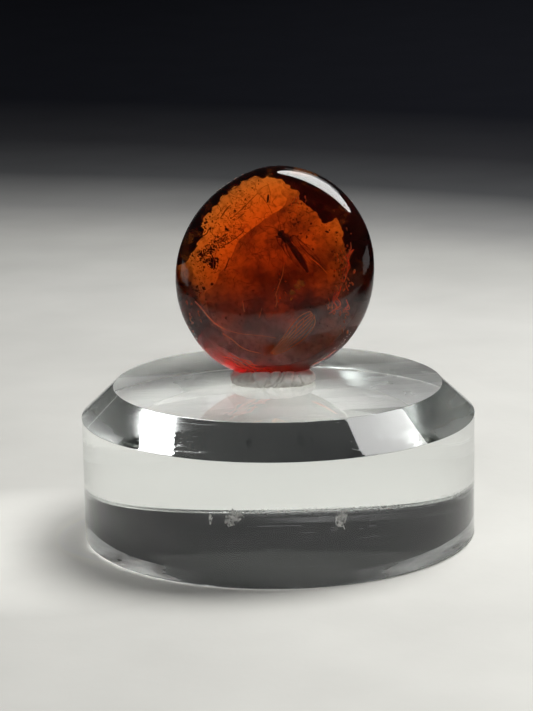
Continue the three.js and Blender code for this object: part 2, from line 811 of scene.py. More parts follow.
DRIED_GLUE = SealedMatter(
    "dried_glue", (0.34, 0.34, 0.33), (0.62, 0.62, 0.60), 2600.0, 0.7, (0.15, 0.85), relief=0.02 * MM
)
BRUISED_AMBER = SealedMatter(
    "bruised_amber", (0.30, 0.24, 0.20), (0.75, 0.68, 0.60), 5000.0, 0.45, (0.35, 0.9)
)
BARK = SealedMatter("bark", (0.006, 0.002, 0.002), (0.030, 0.010, 0.006), 1500.0, 0.6)
BARK_FILM = SealedMatter(
    "bark_skin", (0.003, 0.001, 0.002), (0.022, 0.003, 0.004), 800.0, 0.6, (1.0, 0.80), spread=(0.54, 0.74)
)
FLOW_FILM = SealedMatter(
    "flow_skin", (0.06, 0.010, 0.010), (0.26, 0.040, 0.028), 330.0, 0.5, (0.72, 0.08)
)
MOTTLED_FILM = SealedMatter(
    "mottled_amber",
    (0.05, 0.010, 0.004),
    (0.05, 0.010, 0.004),
    1700.0,
    0.6,
    (0.0, 0.50),
    spread=(0.46, 0.74),
)
FLANK_FILM = SealedMatter(
    "dark_flank", (0.006, 0.002, 0.004), (0.055, 0.006, 0.012), 520.0, 0.6, (1.0, 0.72), fading=True
)
ROLLED_FILM = SealedMatter(
    "rolled_flow_edge", (0.20, 0.06, 0.05), (0.50, 0.22, 0.18), 700.0, 0.5, (0.10, 0.45), fading=True
)
CLOUD_FILM = SealedMatter(
    "cloud_skin", (0.03, 0.006, 0.010), (0.16, 0.03, 0.03), 330.0, 0.5, (0.75, 0.0), fading=True
)
INSECT_SHELL = SealedMatter(
    "insect_shell", (0.020, 0.007, 0.004), (0.10, 0.035, 0.015), 2200.0, 0.35, (0.95, 0.78), relief=0.01 * MM
)
WING_SKIN = SealedMatter("wing_skin", (0.20, 0.08, 0.04), (0.50, 0.25, 0.12), 1200.0, 0.3, (0.10, 0.28))
WING_VEIN = SealedMatter("wing_vein", (0.80, 0.26, 0.08), (1.0, 0.50, 0.20), 900.0, 0.35, metallic=0.6)
PALE_FIBRE = SealedMatter("pale_fibre", (0.85, 0.42, 0.20), (1.0, 0.72, 0.45), 1500.0, 0.3, metallic=0.7)
GOLDEN_FLAKE = SealedMatter(
    "golden_flake", (0.45, 0.24, 0.05), (0.85, 0.55, 0.16), 2400.0, 0.4, (0.5, 0.95)
)
RED_SHRED = SealedMatter(
    "red_shred", (0.70, 0.20, 0.08), (1.0, 0.42, 0.20), 1800.0, 0.4, (0.55, 0.95), metallic=0.5
)
# Bright red metallic threads: they reflect the lamps, and their bright red colour paints glints along cracks
# and the red glow of light refracted at the stone's lower edge.
RED_GLINT = SealedMatter("red_glint", (0.95, 0.10, 0.05), (1.0, 0.30, 0.14), 1500.0, 0.35, metallic=0.6)


# ---------------------------------------------------------------------------------------------
# Display round
# ---------------------------------------------------------------------------------------------


@dataclass
class DisplayRound:
    """The clear bevelled round that carries the stone."""

    bevel_width: float = 4.1 * MM
    bevel_depth: float = 3.8 * MM
    foot_cut: float = 0.22 * MM
    foot_support: float = 0.05 * MM
    edge_radius: float = 0.10 * MM
    arc_steps: int = 4
    steps: int = 320
    low: Vector = field(default_factory=lambda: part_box(Node.BASE.value)[0])
    high: Vector = field(default_factory=lambda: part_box(Node.BASE.value)[1])

    def _rounded(self, before: Vector, corner: Vector, after: Vector) -> list[Vector]:
        """Rounds one corner of the half-section.

        Args:
            before: the corner before it.
            corner: the sharp corner.
            after: the corner after it.

        Returns:
            Points round the corner, with a support point on each flat.
        """
        to_before, to_after = (before - corner).normalized(), (after - corner).normalized()
        half = to_before.angle(to_after) / 2
        back = self.edge_radius / math.tan(half)
        middle = corner + (to_before + to_after).normalized() * (self.edge_radius / math.sin(half))
        first, last = corner + to_before * back, corner + to_after * back
        spread = (first - middle).angle(last - middle)
        side = 1 if (first - middle).cross(last - middle) > 0 else -1
        arc = []
        for k in range(self.arc_steps + 1):
            turn = Matrix.Rotation(side * spread * k / self.arc_steps, 2)
            arc.append(middle + turn @ (first - middle))
        support = self.edge_radius * 0.4
        return [first + to_before * support, *arc, last + to_after * support]

    def profile(self) -> list[Vector]:
        """The round's half-section.

        Returns:
            Points as radius and height, from the axis below to the axis above.
        """
        radius, top, cut = self.high.x, self.high.z, self.foot_cut
        start, end = Vector((0.0, 0.0)), Vector((0.0, top))
        shoulder = Vector((radius, top - self.bevel_depth))
        rim = Vector((radius - self.bevel_width, top))
        foot = [Vector((radius - cut, 0.0)), Vector((radius, cut))]
        return [
            start,
            foot[0] - Vector((self.foot_support, 0.0)),
            *foot,
            foot[1] + Vector((0.0, self.foot_support)),
            *self._rounded(foot[1], shoulder, rim),
            *self._rounded(shoulder, rim, end),
            end,
        ]

    def build(self, material: bpy.types.Material) -> bpy.types.Object:
        """Spins the half-section into the closed round.

        Args:
            material: the acrylic.

        Returns:
            The finished piece.
        """
        bm = bmesh.new()
        row = [bm.verts.new((point.x, 0.0, point.y)) for point in self.profile()]
        edges = [bm.edges.new(pair) for pair in zip(row, row[1:])]
        bmesh.ops.spin(
            bm,
            geom=[*row, *edges],
            cent=(0, 0, 0),
            axis=(0, 0, 1),
            angle=math.tau,
            steps=self.steps,
            use_merge=True,
        )
        bmesh.ops.remove_doubles(bm, verts=bm.verts, dist=0.001 * MM)
        bmesh.ops.recalc_face_normals(bm, faces=bm.faces)
        for edge in bm.edges:
            edge.smooth = edge.calc_face_angle(0.0) < math.radians(25)
        piece = finish_piece("display_round", bm, material)
        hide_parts(Node.BASE.value)
        return piece


@dataclass
class GlueSmears:
    """Thin crusts of old glue on the round's front wall."""

    radius: float
    spots: tuple[tuple[float, float, float, float], ...] = (
        (-5.6, 8.9, 1.15, 0.95),
        (-8.5, 8.5, 0.22, 0.75),
        (7.3, 8.4, 0.85, 1.05),
        (13.2, 9.0, 0.20, 0.22),
    )
    lift: float = 0.03 * MM
    thickness: float = 0.02 * MM
    cells: int = 40

    def _smear(self, bm: bmesh.types.BMesh, spot: tuple[float, float, float, float]) -> None:
        """Adds one ragged crust that hugs the wall.

        Args:
            bm: the shape that it is added to.
            spot: distance along the wall from the front, height, and half sizes, in millimetres.
        """
        across, height, half_width, half_height = spot
        made = bmesh.ops.create_grid(bm, x_segments=self.cells, y_segments=self.cells, size=1.3)["verts"]
        ragged = [
            vert
            for vert in made
            if vert.co.length + 0.75 * noise.fractal(vert.co * 1.6 + Vector(spot[:3]), 0.8, 2.0, 4) > 1.0
        ]
        keep = set(made) - set(ragged)
        for vert in keep:
            angle = (across + vert.co.x * half_width) * MM / self.radius - math.pi / 2
            reach = self.radius + self.lift * (1.2 + noise.noise(vert.co * 4.0 + Vector(spot[:3])))
            place = (height + vert.co.y * half_height) * MM
            vert.co = Vector((reach * math.cos(angle), reach * math.sin(angle), place))
        bmesh.ops.delete(bm, geom=ragged, context="VERTS")

    def build(self, material: bpy.types.Material) -> bpy.types.Object:
        """Makes every crust as one piece.

        Args:
            material: the dried glue.

        Returns:
            The finished piece.
        """
        bm = bmesh.new()
        for spot in self.spots:
            self._smear(bm, spot)
        bmesh.ops.recalc_face_normals(bm, faces=bm.faces)
        bmesh.ops.solidify(bm, geom=bm.faces, thickness=self.thickness)
        return finish_piece("glue_smears", bm, material)


# ---------------------------------------------------------------------------------------------
# Stone
# ---------------------------------------------------------------------------------------------


@dataclass
class Lens:
    """The stone's shape: a lens with a nearly round outline, on its edge, facing -Y and leaning back."""

    centre: Vector = field(default_factory=lambda: Vector((-0.15, 3.0, 33.32)) * MM)
    lean: float = math.radians(15.0)
    radii: tuple[float, ...] = (
        12.7, 13.05, 13.46, 13.41, 12.6, 12.36, 12.64, 13.17, 13.75, 13.46, 13.14, 12.8,
    )
    front: float = 5.2 * MM
    back: float = 4.6 * MM

    def turned(self, upright: Vector) -> Vector:
        """A direction of the upright stone as it stands, leaning back."""
        return Matrix.Rotation(-self.lean, 3, "X") @ upright

    def reach(self, angle: float) -> float:
        """Distance from the centre to the outline.

        Args:
            angle: direction in the stone's plane, anticlockwise from +X seen from the front.

        Returns:
            The distance, in metres.
        """
        count = len(self.radii)
        place = angle / math.tau * count + count
        start = math.floor(place)
        f = place - start
        before, near, far, after = (self.radii[(start + k + count) % count] for k in (-1, 0, 1, 2))
        slope_near, slope_far, rise = (far - before) / 2, (after - near) / 2, far - near
        curve = (3 * rise - 2 * slope_near - slope_far) * f**2
        return (near + slope_near * f + curve + (slope_near + slope_far - 2 * rise) * f**3) * MM

    def place(self, unit: Vector) -> Vector:
        """Carries a point of the unit ball to the stone.

        Args:
            unit: the point of the ball.

        Returns:
            The point of the stone, in metres.
        """
        angle = math.atan2(unit.z, unit.x)
        radius = self.reach(angle) * math.hypot(unit.x, unit.z)
        depth = self.front if unit.y < 0 else self.back
        upright = Vector((radius * math.cos(angle), depth * unit.y, radius * math.sin(angle)))
        return self.centre + self.turned(upright)

    def inside(self, x: float, z: float, share: float) -> Vector:
        """A point inside the stone.

        Args:
            x: millimetres to the right of the stone's centre, seen from the front.
            z: millimetres above the centre.
            share: depth as a share of the way out, -1 at the front surface and 1 at the back.

        Returns:
            The point, in metres.
        """
        out = math.hypot(x, z) * MM / self.reach(math.atan2(z, x))
        if out > 0.97:
            x, z, out = x * 0.97 / out, z * 0.97 / out, 0.97
        skin = (self.front if share < 0 else self.back) * math.sqrt(1 - out * out)
        return self.centre + self.turned(Vector((x * MM, share * skin, z * MM)))

    def line(self, spots: Sequence[Spot], share: float, steps: int = 8) -> list[Vector]:
        """A smooth curve inside the stone through spots at one depth."""
        return curve_through([self.inside(x, z, share) for x, z in spots], steps)

    def holds(self, spot: Vector) -> bool:
        """Tells whether a point is in the stone.

        Args:
            spot: the point, in the row frame.

        Returns:
            Whether it is inside.
        """
        upright = Matrix.Rotation(self.lean, 3, "X") @ (spot - self.centre)
        out = math.hypot(upright.x, upright.z) / self.reach(math.atan2(upright.z, upright.x))
        depth = self.front if upright.y < 0 else self.back
        return out**2 + (upright.y / depth) ** 2 < 1.0

    def press(self, spot: Vector, floor: float) -> float:
        """Height that a point has once the stone has pushed it down.

        Args:
            spot: the point.
            floor: height that it can't go below.

        Returns:
            Its own height outside the stone, and that of the stone's lower surface inside it.
        """
        if not self.holds(spot):
            return spot.z
        low, high = floor, spot.z
        for _ in range(16):
            middle = (low + high) / 2
            if self.holds(Vector((spot.x, spot.y, middle))):
                high = middle
            else:
                low = middle
        return low


@dataclass
class AmberStone:
    """The polished stone, very slightly uneven from hand polishing."""

    lens: Lens
    fineness: int = 7
    wave: float = 0.030 * MM
    wave_length: float = 7.0 * MM

    def build(self, material: bpy.types.Material) -> bpy.types.Object:
        """Makes the stone's surface.

        Args:
            material: the amber.

        Returns:
            The finished piece.
        """
        bm = bmesh.new()
        bmesh.ops.create_icosphere(bm, subdivisions=self.fineness, radius=1.0)
        for vert in bm.verts:
            unit = vert.co.copy()
            spot = self.lens.place(unit)
            dip = self.wave * (noise.noise(spot / self.wave_length) - 0.7)
            vert.co = spot + self.lens.turned(unit) * dip
        piece = finish_piece("amber_stone", bm, material)
        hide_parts(Node.STONE.value)
        return piece


@dataclass
class RimChips:
    """Small bruised chips along the stone's edge."""

    lens: Lens
    seed: int = 5
    count: int = 16

    def build(self, material: bpy.types.Material) -> bpy.types.Object:
        """Makes the bruises as flat crusts sunk in the edge.

        Args:
            material: the bruised amber.

        Returns:
            The finished piece.
        """
        draw = random.Random(self.seed)
        bm = bmesh.new()
        for _ in range(self.count):
            angle = math.radians(draw.uniform(112, 128) if draw.random() < 0.7 else draw.uniform(0, 360))
            depth = draw.uniform(-0.10, 0.06)
            size = draw.uniform(0.07, 0.20) * MM
            round_it = math.sqrt(1 - depth**2)
            unit = Vector((math.cos(angle) * round_it, depth, math.sin(angle) * round_it))
            spot = self.lens.place(unit)
            flat = Vector((size * draw.uniform(1.0, 3.0), size, 0.035 * MM))
            outward = self.lens.turned(Vector((unit.x, 0, unit.z)))
            turn = Vector((0, 0, 1)).rotation_difference(outward).to_euler()
            lump(bm, spot, flat, turn, 2, 0.5)
        return finish_piece("rim_chips", bm, material)


# ---------------------------------------------------------------------------------------------
# Insect
# ---------------------------------------------------------------------------------------------


@dataclass
class Insect:
    """A gnat in its own frame: head towards +X, back towards +Z, in metres, then posed in the stone."""

    place: Vector
    heading: Vector
    back: Vector
    scale: float = 1.0
    antenna: tuple[Point, ...] = ((2.2, 0.12, 0.1), (2.8, 0.35, 0.45), (3.5, 0.75, 0.35), (4.0, 1.2, 0.0))
    fore_leg: tuple[Point, ...] = ((1.5, 0.2, -0.2), (1.9, 0.55, -0.5), (1.2, 0.70, -0.9), (0.4, 0.60, -1.0))
    middle_leg: tuple[Point, ...] = (
        (1.1, 0.25, -0.3), (0.8, 0.75, -0.3), (-0.4, 0.85, -0.8), (-1.5, 0.70, -0.9),
    )
    hind_leg: tuple[Point, ...] = (
        (0.7, 0.25, -0.2), (-0.1, 0.8, 0.1), (-1.7, 0.85, -0.5), (-3.2, 0.6, -0.6),
    )
    trailing_leg: tuple[Point, ...] = (
        (0.9, 0.25, -0.2), (0.7, 1.2, 0.0), (-1.6, 1.75, -0.2), (-4.0, 1.9, -0.3),
    )
    wing_front: tuple[Point, ...] = (
        (0.9, 0.25, 0.45), (0.2, 0.9, 0.75), (-1.4, 1.25, 0.80), (-3.0, 1.15, 0.62), (-3.7, 0.75, 0.5),
    )
    wing_rear: tuple[Point, ...] = (
        (0.7, 0.18, 0.45), (0.0, 0.20, 0.70), (-1.4, -0.05, 0.72), (-2.8, 0.05, 0.58), (-3.7, 0.65, 0.5),
    )
    leg_widths: tuple[float, ...] = (0.10, 0.06, 0.035)
    segments: int = 8
    rings: int = 4
    waist_radius: float = 0.43 * MM
    antenna_radius: float = 0.045 * MM
    foot_radius: float = 0.02 * MM
    vein_radius: float = 0.020 * MM
    vein_shares: tuple[float, ...] = (0.16, 0.34, 0.52, 0.74)

    def _pose(self) -> Matrix:
        """Works out how the insect lies.

        Returns:
            The matrix from its own frame to the row frame.
        """
        forward = self.heading.normalized()
        side = self.back.cross(forward).normalized()
        up = forward.cross(side)
        turn = Matrix((forward, side, up)).transposed().to_4x4()
        return Matrix.Translation(self.place) @ turn @ Matrix.Scale(self.scale, 4)

    def _trunk(self, bm: bmesh.types.BMesh) -> None:
        """Adds head, eyes, thorax and the segmented abdomen.

        Args:
            bm: the shape that they are added to.
        """
        lump(bm, Vector((1.95, 0, -0.12)) * MM, Vector((0.36, 0.42, 0.42)) * MM, Euler((0, 0.3, 0)), 3)
        for side in (-1, 1):
            lump(bm, Vector((2.02, 0.27 * side, 0.02)) * MM, Vector((0.20, 0.17, 0.26)) * MM, Euler(), 3)
        lump(bm, Vector((1.15, 0, 0.16)) * MM, Vector((0.66, 0.50, 0.56)) * MM, Euler((0, 0.25, 0)), 4, 0.10)
        lump(bm, Vector((0.55, 0, 0.18)) * MM, Vector((0.34, 0.36, 0.36)) * MM, Euler((0, -0.2, 0)), 3)
        joints, widths = [], []
        last = self.segments * self.rings
        for k in range(last + 1):
            share = k / last
            bulge = 1.0 - 0.14 * abs(math.cos(math.pi * k / self.rings)) ** 6
            taper = math.sin(math.pi * (0.16 + 0.80 * share)) ** 0.7
            joints.append(Vector((0.35 - 4.3 * share, 0.12 * share, 0.08 - 0.75 * share**2)) * MM)
            widths.append(self.waist_radius * taper * bulge)
        sweep(bm, joints, widths, 16)

    def _mirrored(self, row: Sequence[Point], side: int) -> list[Vector]:
        """Points of the left half, in metres, turned to the right for a side of -1."""
        return [Vector((x, y * side, z)) * MM for x, y, z in row]

    def _leg(self, bm: bmesh.types.BMesh, points: Sequence[Vector]) -> None:
        """Adds one jointed leg.

        Args:
            bm: the shape that it is added to.
            points: its hip, joints and tip.
        """
        path, widths = [], []
        for near, far, thick in zip(points, points[1:], self.leg_widths):
            for k in range(6):
                path.append(near.lerp(far, k / 6))
                widths.append(thick * MM * (0.75 + 0.35 * math.sin(math.pi * (k + 0.5) / 6)))
        sweep(bm, [*path, points[-1]], [*widths, self.foot_radius], 7)

    def _limbs(self, bm: bmesh.types.BMesh) -> None:
        """Adds beaded antennae and six jointed legs.

        Args:
            bm: the shape that they are added to.
        """
        for side in (-1, 1):
            antenna = curve_through(self._mirrored(self.antenna, side), 10)
            beads = [self.antenna_radius * (1.0 if k % 2 else 0.6) for k in range(len(antenna))]
            sweep(bm, antenna, beads, 6)
            rearmost = self.hind_leg if side > 0 else self.trailing_leg
            for leg in (self.fore_leg, self.middle_leg, rearmost):
                self._leg(bm, self._mirrored(leg, side))

    def _wing(self, bm: bmesh.types.BMesh, side: int) -> list[list[Vector]]:
        """Adds one wing's membrane.

        Args:
            bm: the shape that the membrane is added to.
            side: -1 or 1.

        Returns:
            The points of each vein.
        """
        front, rear = (
            curve_through(self._mirrored(row, side), 8) for row in (self.wing_front, self.wing_rear)
        )
        loft(bm, front, rear, 32, 8)
        veins = [front, rear]
        for share in self.vein_shares:
            bend = 0.25 * (share - 0.4)
            pairs = enumerate(zip(front, rear))
            veins.append([a.lerp(b, min(1.0, share + bend * k / 32)) for k, (a, b) in pairs])
        veins.append([veins[2][18], veins[4][20]])
        return veins

    def build(self, chitin: bpy.types.Material, membrane: bpy.types.Material) -> list[bpy.types.Object]:
        """Makes the body, the limbs and the wings.

        Args:
            chitin: finish of body, limbs and veins.
            membrane: finish of the wings' skin.

        Returns:
            The finished pieces.
        """
        body, limbs, skin = bmesh.new(), bmesh.new(), bmesh.new()
        self._trunk(body)
        self._limbs(limbs)
        for side in (-1, 1):
            for vein in self._wing(skin, side):
                sweep(limbs, vein, self.vein_radius, 5)
        pieces = []
        for name, bm, finish, solid in (
            ("insect_body", body, chitin, True),
            ("insect_limbs", limbs, chitin, True),
            ("insect_wings", skin, membrane, False),
        ):
            bmesh.ops.transform(bm, matrix=self._pose(), verts=bm.verts)
            pieces.append(finish_piece(name, bm, finish, outward=solid))
        return pieces


# ---------------------------------------------------------------------------------------------
# What else is sealed in the stone
# ---------------------------------------------------------------------------------------------


@dataclass(frozen=True)
class Thread:
    """A hair, fibre or fine crack line: its course in the stone and its thickness."""

    spots: tuple[Spot, ...]
    share: float
    thick: float
    tip: float = 0.5
    steps: int = 8

    def add_to(self, bm: bmesh.types.BMesh, lens: Lens) -> None:
        """Adds the thread, thinner at its ends.

        Args:
            bm: the shape that it is added to.
            lens: the stone that it lies in.
        """
        path = lens.line(self.spots, self.share, self.steps)
        last = len(path) - 1
        widths = []
        for k in range(last + 1):
            swell = math.sin(math.pi * (0.06 + 0.88 * k / last)) ** 0.6
            widths.append(self.thick * MM * (self.tip + (1 - self.tip) * swell))
        sweep(bm, path, widths, 6)


DARK_HAIRS = (
    Thread(((-5.2, 6.23), (-3.5, 7.73), (-1.8, 9.45)), -0.25, 0.045),
    Thread(((-1.8, 9.38), (-1.1, 8.56), (-0.5, 7.55), (-0.2, 6.84)), -0.2, 0.030),
    Thread(((-5.1, 7.98), (-5.6, 7.58), (-6.1, 6.88), (-6.4, 6.38), (-6.1, 6.27)), -0.2, 0.050),
    Thread(((-0.6, 9.17), (-0.65, 8.66), (-0.7, 8.16)), -0.2, 0.13, 0.3),
    Thread(((-4.3, 5.07), (-3.6, 4.67), (-5.0, 3.57), (-6.2, 2.87)), 0.1, 0.045),
    Thread(((-7.6, 5.02), (-7.9, 4.42), (-8.7, 4.01), (-9.6, 3.68)), 0.4, 0.060),
    Thread(((0.4, 8.86), (-0.1, 8.16), (0.3, 7.57)), 0.1, 0.025),
    Thread(((-4.6, 9.09), (-5.2, 9.58), (-4.1, 9.98)), 0.2, 0.030),
    Thread(((2.9, 3.34), (3.6, 2.34), (4.6, 1.44), (5.6, 0.65)), -0.3, 0.060),
    Thread(((1.7, 7.6), (2.4, 7.99), (3.4, 7.89)), 0.3, 0.060),
    Thread(((3.9, 6.8), (4.7, 6.99), (5.0, 7.28)), 0.3, 0.045),
    Thread(((-7.4, 1.93), (-7.0, 0.94), (-7.2, 0.14)), 0.2, 0.090),
    Thread(((-5.3, 1.55), (-5.6, 0.75), (-5.9, 0.15)), 0.2, 0.070),
)

PALE_FIBRES = (
    Thread(((-10.1, -3.89), (-9.1, -5.04), (-7.9, -6.48), (-6.4, -7.52)), -0.95, 0.12, 0.35),
    Thread(((-6.4, -7.52), (-4.4, -8.07), (-1.7, -8.4), (0.0, -8.7)), -0.90, 0.035),
    Thread(((-6.7, -7.99), (-5.5, -8.8), (-4.6, -9.59), (-3.5, -10.19), (-1.9, -10.59)), -0.95, 0.085, 0.3),
    Thread(((-6.2, 3.94), (-6.8, 2.74), (-7.3, 1.54), (-7.5, 0.14)), -0.35, 0.050),
    Thread(((1.2, 0.66), (0.9, -0.95), (0.4, -2.25), (0.0, -3.44)), -0.80, 0.050),
    Thread(((0.1, -3.34), (0.2, -4.13), (0.0, -4.82)), -0.80, 0.070),
    Thread(((-4.1, -4.02), (-4.0, -4.71), (-3.9, -5.4)), -0.94, 0.060),
    Thread(((-1.7, -4.91), (-1.9, -5.6), (-2.1, -6.19)), -0.80, 0.060),
    Thread(((4.3, 1.32), (5.4, 0.44), (6.4, -0.64)), -0.55, 0.045),
    Thread(((-4.0, 4.67), (-3.3, 5.37)), 0.1, 0.050),
)


@dataclass(frozen=True)
class GlintCourse:
    """A painted red glint: the course that its short bright red threads follow, their number and their
    drift.
    """

    spots: tuple[Spot, ...]
    count: int
    drift: float


# Courses of painted red glints: the first four paint the red glow along the stone's lower edge, the rest
# glints along cracks on its right.
RED_COURSES = (
    GlintCourse(
        ((-6.31, -10.91), (-5.55, -11.06), (-4.81, -11.57), (-4.07, -12.08), (-3.32, -12.47),
         (-2.57, -12.73)),
        9,
        0.16,
    ),
    GlintCourse(
        ((-5.79, -10.56), (-5.04, -10.94), (-4.17, -11.33), (-3.3, -11.85), (-2.56, -12.23)), 8, 0.16
    ),
    GlintCourse(((-3.3, -12.2), (-2.4, -12.5), (-1.6, -12.6), (-1.0, -12.75)), 7, 0.14),
    GlintCourse(((4.79, -12.4), (5.44, -12.1), (6.23, -11.7), (7.02, -11.2), (7.68, -10.7)), 7, 0.20),
    GlintCourse(
        ((9.69, 3.25), (9.41, 2.24), (8.89, 1.35), (9.26, 0.48), (8.73, -0.53), (8.47, -1.52)), 10, 0.22
    ),
    GlintCourse(((8.08, -2.15), (7.56, -3.14), (7.18, -4.01), (7.79, -4.87), (6.91, -5.49)), 6, 0.25),
    GlintCourse(((8.81, -4.0), (9.31, -4.74), (8.42, -5.37)), 4, 0.22),
)


@dataclass(frozen=True)
class Flake:
    """A golden flake: where it lies and its half sizes, in millimetres."""

    spot: Spot
    wide: float
    high: float


FLAKES = (
    Flake((3.25, -1.88), 0.42, 0.30),
    Flake((2.7, -2.38), 0.36, 0.22),
    Flake((2.1, -3.08), 0.30, 0.34),
    Flake((2.0, -3.78), 0.12, 0.20),
)


@dataclass(frozen=True)
class ShredPatch:
    """A patch of reddish shreds: its middle, its spread in millimetres and their number."""

    middle: Spot
    wide: float
    high: float
    count: int


SHREDS = (
    ShredPatch((8.9, 1.54), 0.5, 1.3, 26),
    ShredPatch((8.6, -0.58), 0.5, 1.0, 20),
    ShredPatch((6.9, -4.91), 0.35, 0.6, 12),
    ShredPatch((8.2, -5.35), 0.6, 0.3, 12),
    ShredPatch((7.8, -2.81), 0.3, 0.3, 5),
    ShredPatch((8.9, -2.46), 0.2, 0.5, 6),
    ShredPatch((-10.0, -5.74), 0.5, 1.2, 14),
    ShredPatch((3.0, 8.55), 0.6, 0.5, 12),
    ShredPatch((0.6, -1.65), 0.6, 1.6, 8),
    ShredPatch((8.4, -6.98), 0.5, 0.7, 8),
)


@dataclass(frozen=True)
class DebrisPatch:
    """A cloud of small dark crumbs in the stone.

    Middle, spread and size are in millimetres, lean is the spread's turn in radians, and depths are
    shares of the way from the middle to the front (negative) or the back surface.
    """

    middle: Spot
    spread: Spot
    count: int
    size: tuple[float, float]
    lean: float = 0.0
    depths: tuple[float, float] = (-0.1, 0.85)


DEBRIS = (
    DebrisPatch((-4.2, 7.42), (3.4, 1.5), 420, (0.018, 0.050), 0.75),
    DebrisPatch((-4.4, 7.03), (3.2, 1.4), 36, (0.06, 0.11), 0.75),
    DebrisPatch((-8.2, 5.19), (1.5, 0.9), 70, (0.03, 0.12), 0.8),
    DebrisPatch((-6.2, 3.75), (1.2, 0.6), 280, (0.02, 0.085), 0.3),
    DebrisPatch((-7.9, 2.3), (1.3, 0.6), 300, (0.02, 0.10), 0.5),
    DebrisPatch((-7.4, 1.14), (0.8, 0.5), 150, (0.03, 0.12), 0.3),
    DebrisPatch((-9.0, 0.01), (0.9, 1.6), 80, (0.02, 0.07), 0.2),
    DebrisPatch((-9.2, -2.39), (0.8, 0.8), 60, (0.04, 0.13), 0.0),
    DebrisPatch((-6.2, -0.13), (1.3, 1.6), 90, (0.02, 0.06), 0.0),
    DebrisPatch((5.2, 4.26), (2.3, 2.2), 90, (0.02, 0.06), 0.0),
    DebrisPatch((3.3, 6.85), (1.2, 0.9), 60, (0.02, 0.08), 0.0),
    DebrisPatch((2.2, 6.07), (0.7, 1.2), 45, (0.03, 0.09), 0.0),
    DebrisPatch((0.0, -1.4), (5.0, 4.5), 120, (0.02, 0.06), 0.0, (-0.8, 0.8)),
    DebrisPatch((7.8, 0.34), (1.3, 3.2), 130, (0.03, 0.10), 0.0),
    DebrisPatch((6.5, -5.47), (2.6, 1.8), 70, (0.03, 0.09), 0.0, (-0.8, 0.6)),
)

# Each crumb: millimetres to the right of the stone's centre and above it, then its width and height.
CRUMBS = (
    (2.9, 5.72, 0.17, 0.11), (4.4, 5.52, 0.10, 0.17), (4.1, 4.72, 0.10, 0.08),
    (3.2, 4.33, 0.20, 0.09), (2.8, 4.03, 0.13, 0.08), (3.9, 3.93, 0.11, 0.13),
    (6.3, 4.51, 0.26, 0.12), (6.6, 4.71, 0.12, 0.10), (7.3, 3.31, 0.12, 0.13),
    (4.6, 2.43, 0.13, 0.16), (-5.8, -5.59, 0.12, 0.20), (-4.2, -5.28, 0.09, 0.14),
    (-4.0, -5.98, 0.08, 0.08), (-7.5, -1.59, 0.19, 0.15), (-2.6, -2.36, 0.13, 0.11),
    (-5.6, 4.91, 0.28, 0.17), (-4.7, 5.31, 0.12, 0.11), (5.2, 1.33, 0.10, 0.10),
    (8.2, -0.89, 0.30, 0.16), (-2.4, 9.88, 0.12, 0.09),
)


@dataclass
class Debris:
    """All the crumbs, hairs and bark dust in the stone."""

    lens: Lens
    seed: int = 21
    strays: int = 170

    def _stray(self, draw: random.Random) -> Thread:
        """Draws a short faint hair, most often in the upper half of the stone.

        Args:
            draw: the random source.

        Returns:
            The hair.
        """
        x, z = draw.gauss(-2.6, 3.6), draw.gauss(5.0, 3.3)
        turn, bend = draw.uniform(0.0, math.tau), draw.uniform(-0.8, 0.8)
        spots = [(x, z)]
        for _ in range(3):
            x, z = x + 0.5 * math.cos(turn), z + 0.5 * math.sin(turn)
            turn += bend
            spots.append((x, z))
        return Thread(tuple(spots), draw.uniform(-0.5, 0.7), draw.uniform(0.012, 0.030), steps=3)

    def _cloud(self, bm: bmesh.types.BMesh, patch: DebrisPatch, draw: random.Random) -> None:
        """Adds one patch of crumbs.

        Args:
            bm: the shape that they are added to.
            patch: the patch.
            draw: the random source.
        """
        cos, sin = math.cos(patch.lean), math.sin(patch.lean)
        for _ in range(patch.count):
            across, over = (max(-1.8, min(1.8, draw.gauss(0, 0.6))) * reach for reach in patch.spread)
            x = patch.middle[0] + across * cos - over * sin
            z = patch.middle[1] + across * sin + over * cos
            spot = self.lens.inside(x, z, draw.uniform(*patch.depths))
            size = draw.uniform(*patch.size) * (0.6 + 0.8 * draw.random() ** 2) * MM
            shape = Vector((size * draw.uniform(0.8, 2.0), size, size * draw.uniform(0.5, 1.1)))
            lump(bm, spot, shape, Euler([draw.uniform(0, math.tau) for _ in range(3)]))

    def build(self, finish: bpy.types.Material) -> list[bpy.types.Object]:
        """Makes the crumbs and the dark hairs.

        Args:
            finish: the dark plant matter.

        Returns:
            The finished pieces.
        """
        draw = random.Random(self.seed)
        dust, crumbs, hairs = bmesh.new(), bmesh.new(), bmesh.new()
        for patch in DEBRIS:
            self._cloud(dust, patch, draw)
        for x, z, wide, high in CRUMBS:
            size = Vector((wide * 0.8, wide * 0.6, high * 0.8)) * MM
            turn = Euler([draw.uniform(-0.5, 0.5) for _ in range(3)])
            spot = self.lens.inside(x, z, draw.uniform(0.0, 0.35))
            lump(crumbs, spot, size, turn, 3, 1.1)
        for hair in (*DARK_HAIRS, *(self._stray(draw) for _ in range(self.strays))):
            hair.add_to(hairs, self.lens)
        return [
            finish_piece("bark_dust", dust, finish),
            finish_piece("bark_crumbs", crumbs, finish),
            finish_piece("dark_hairs", hairs, finish),
        ]


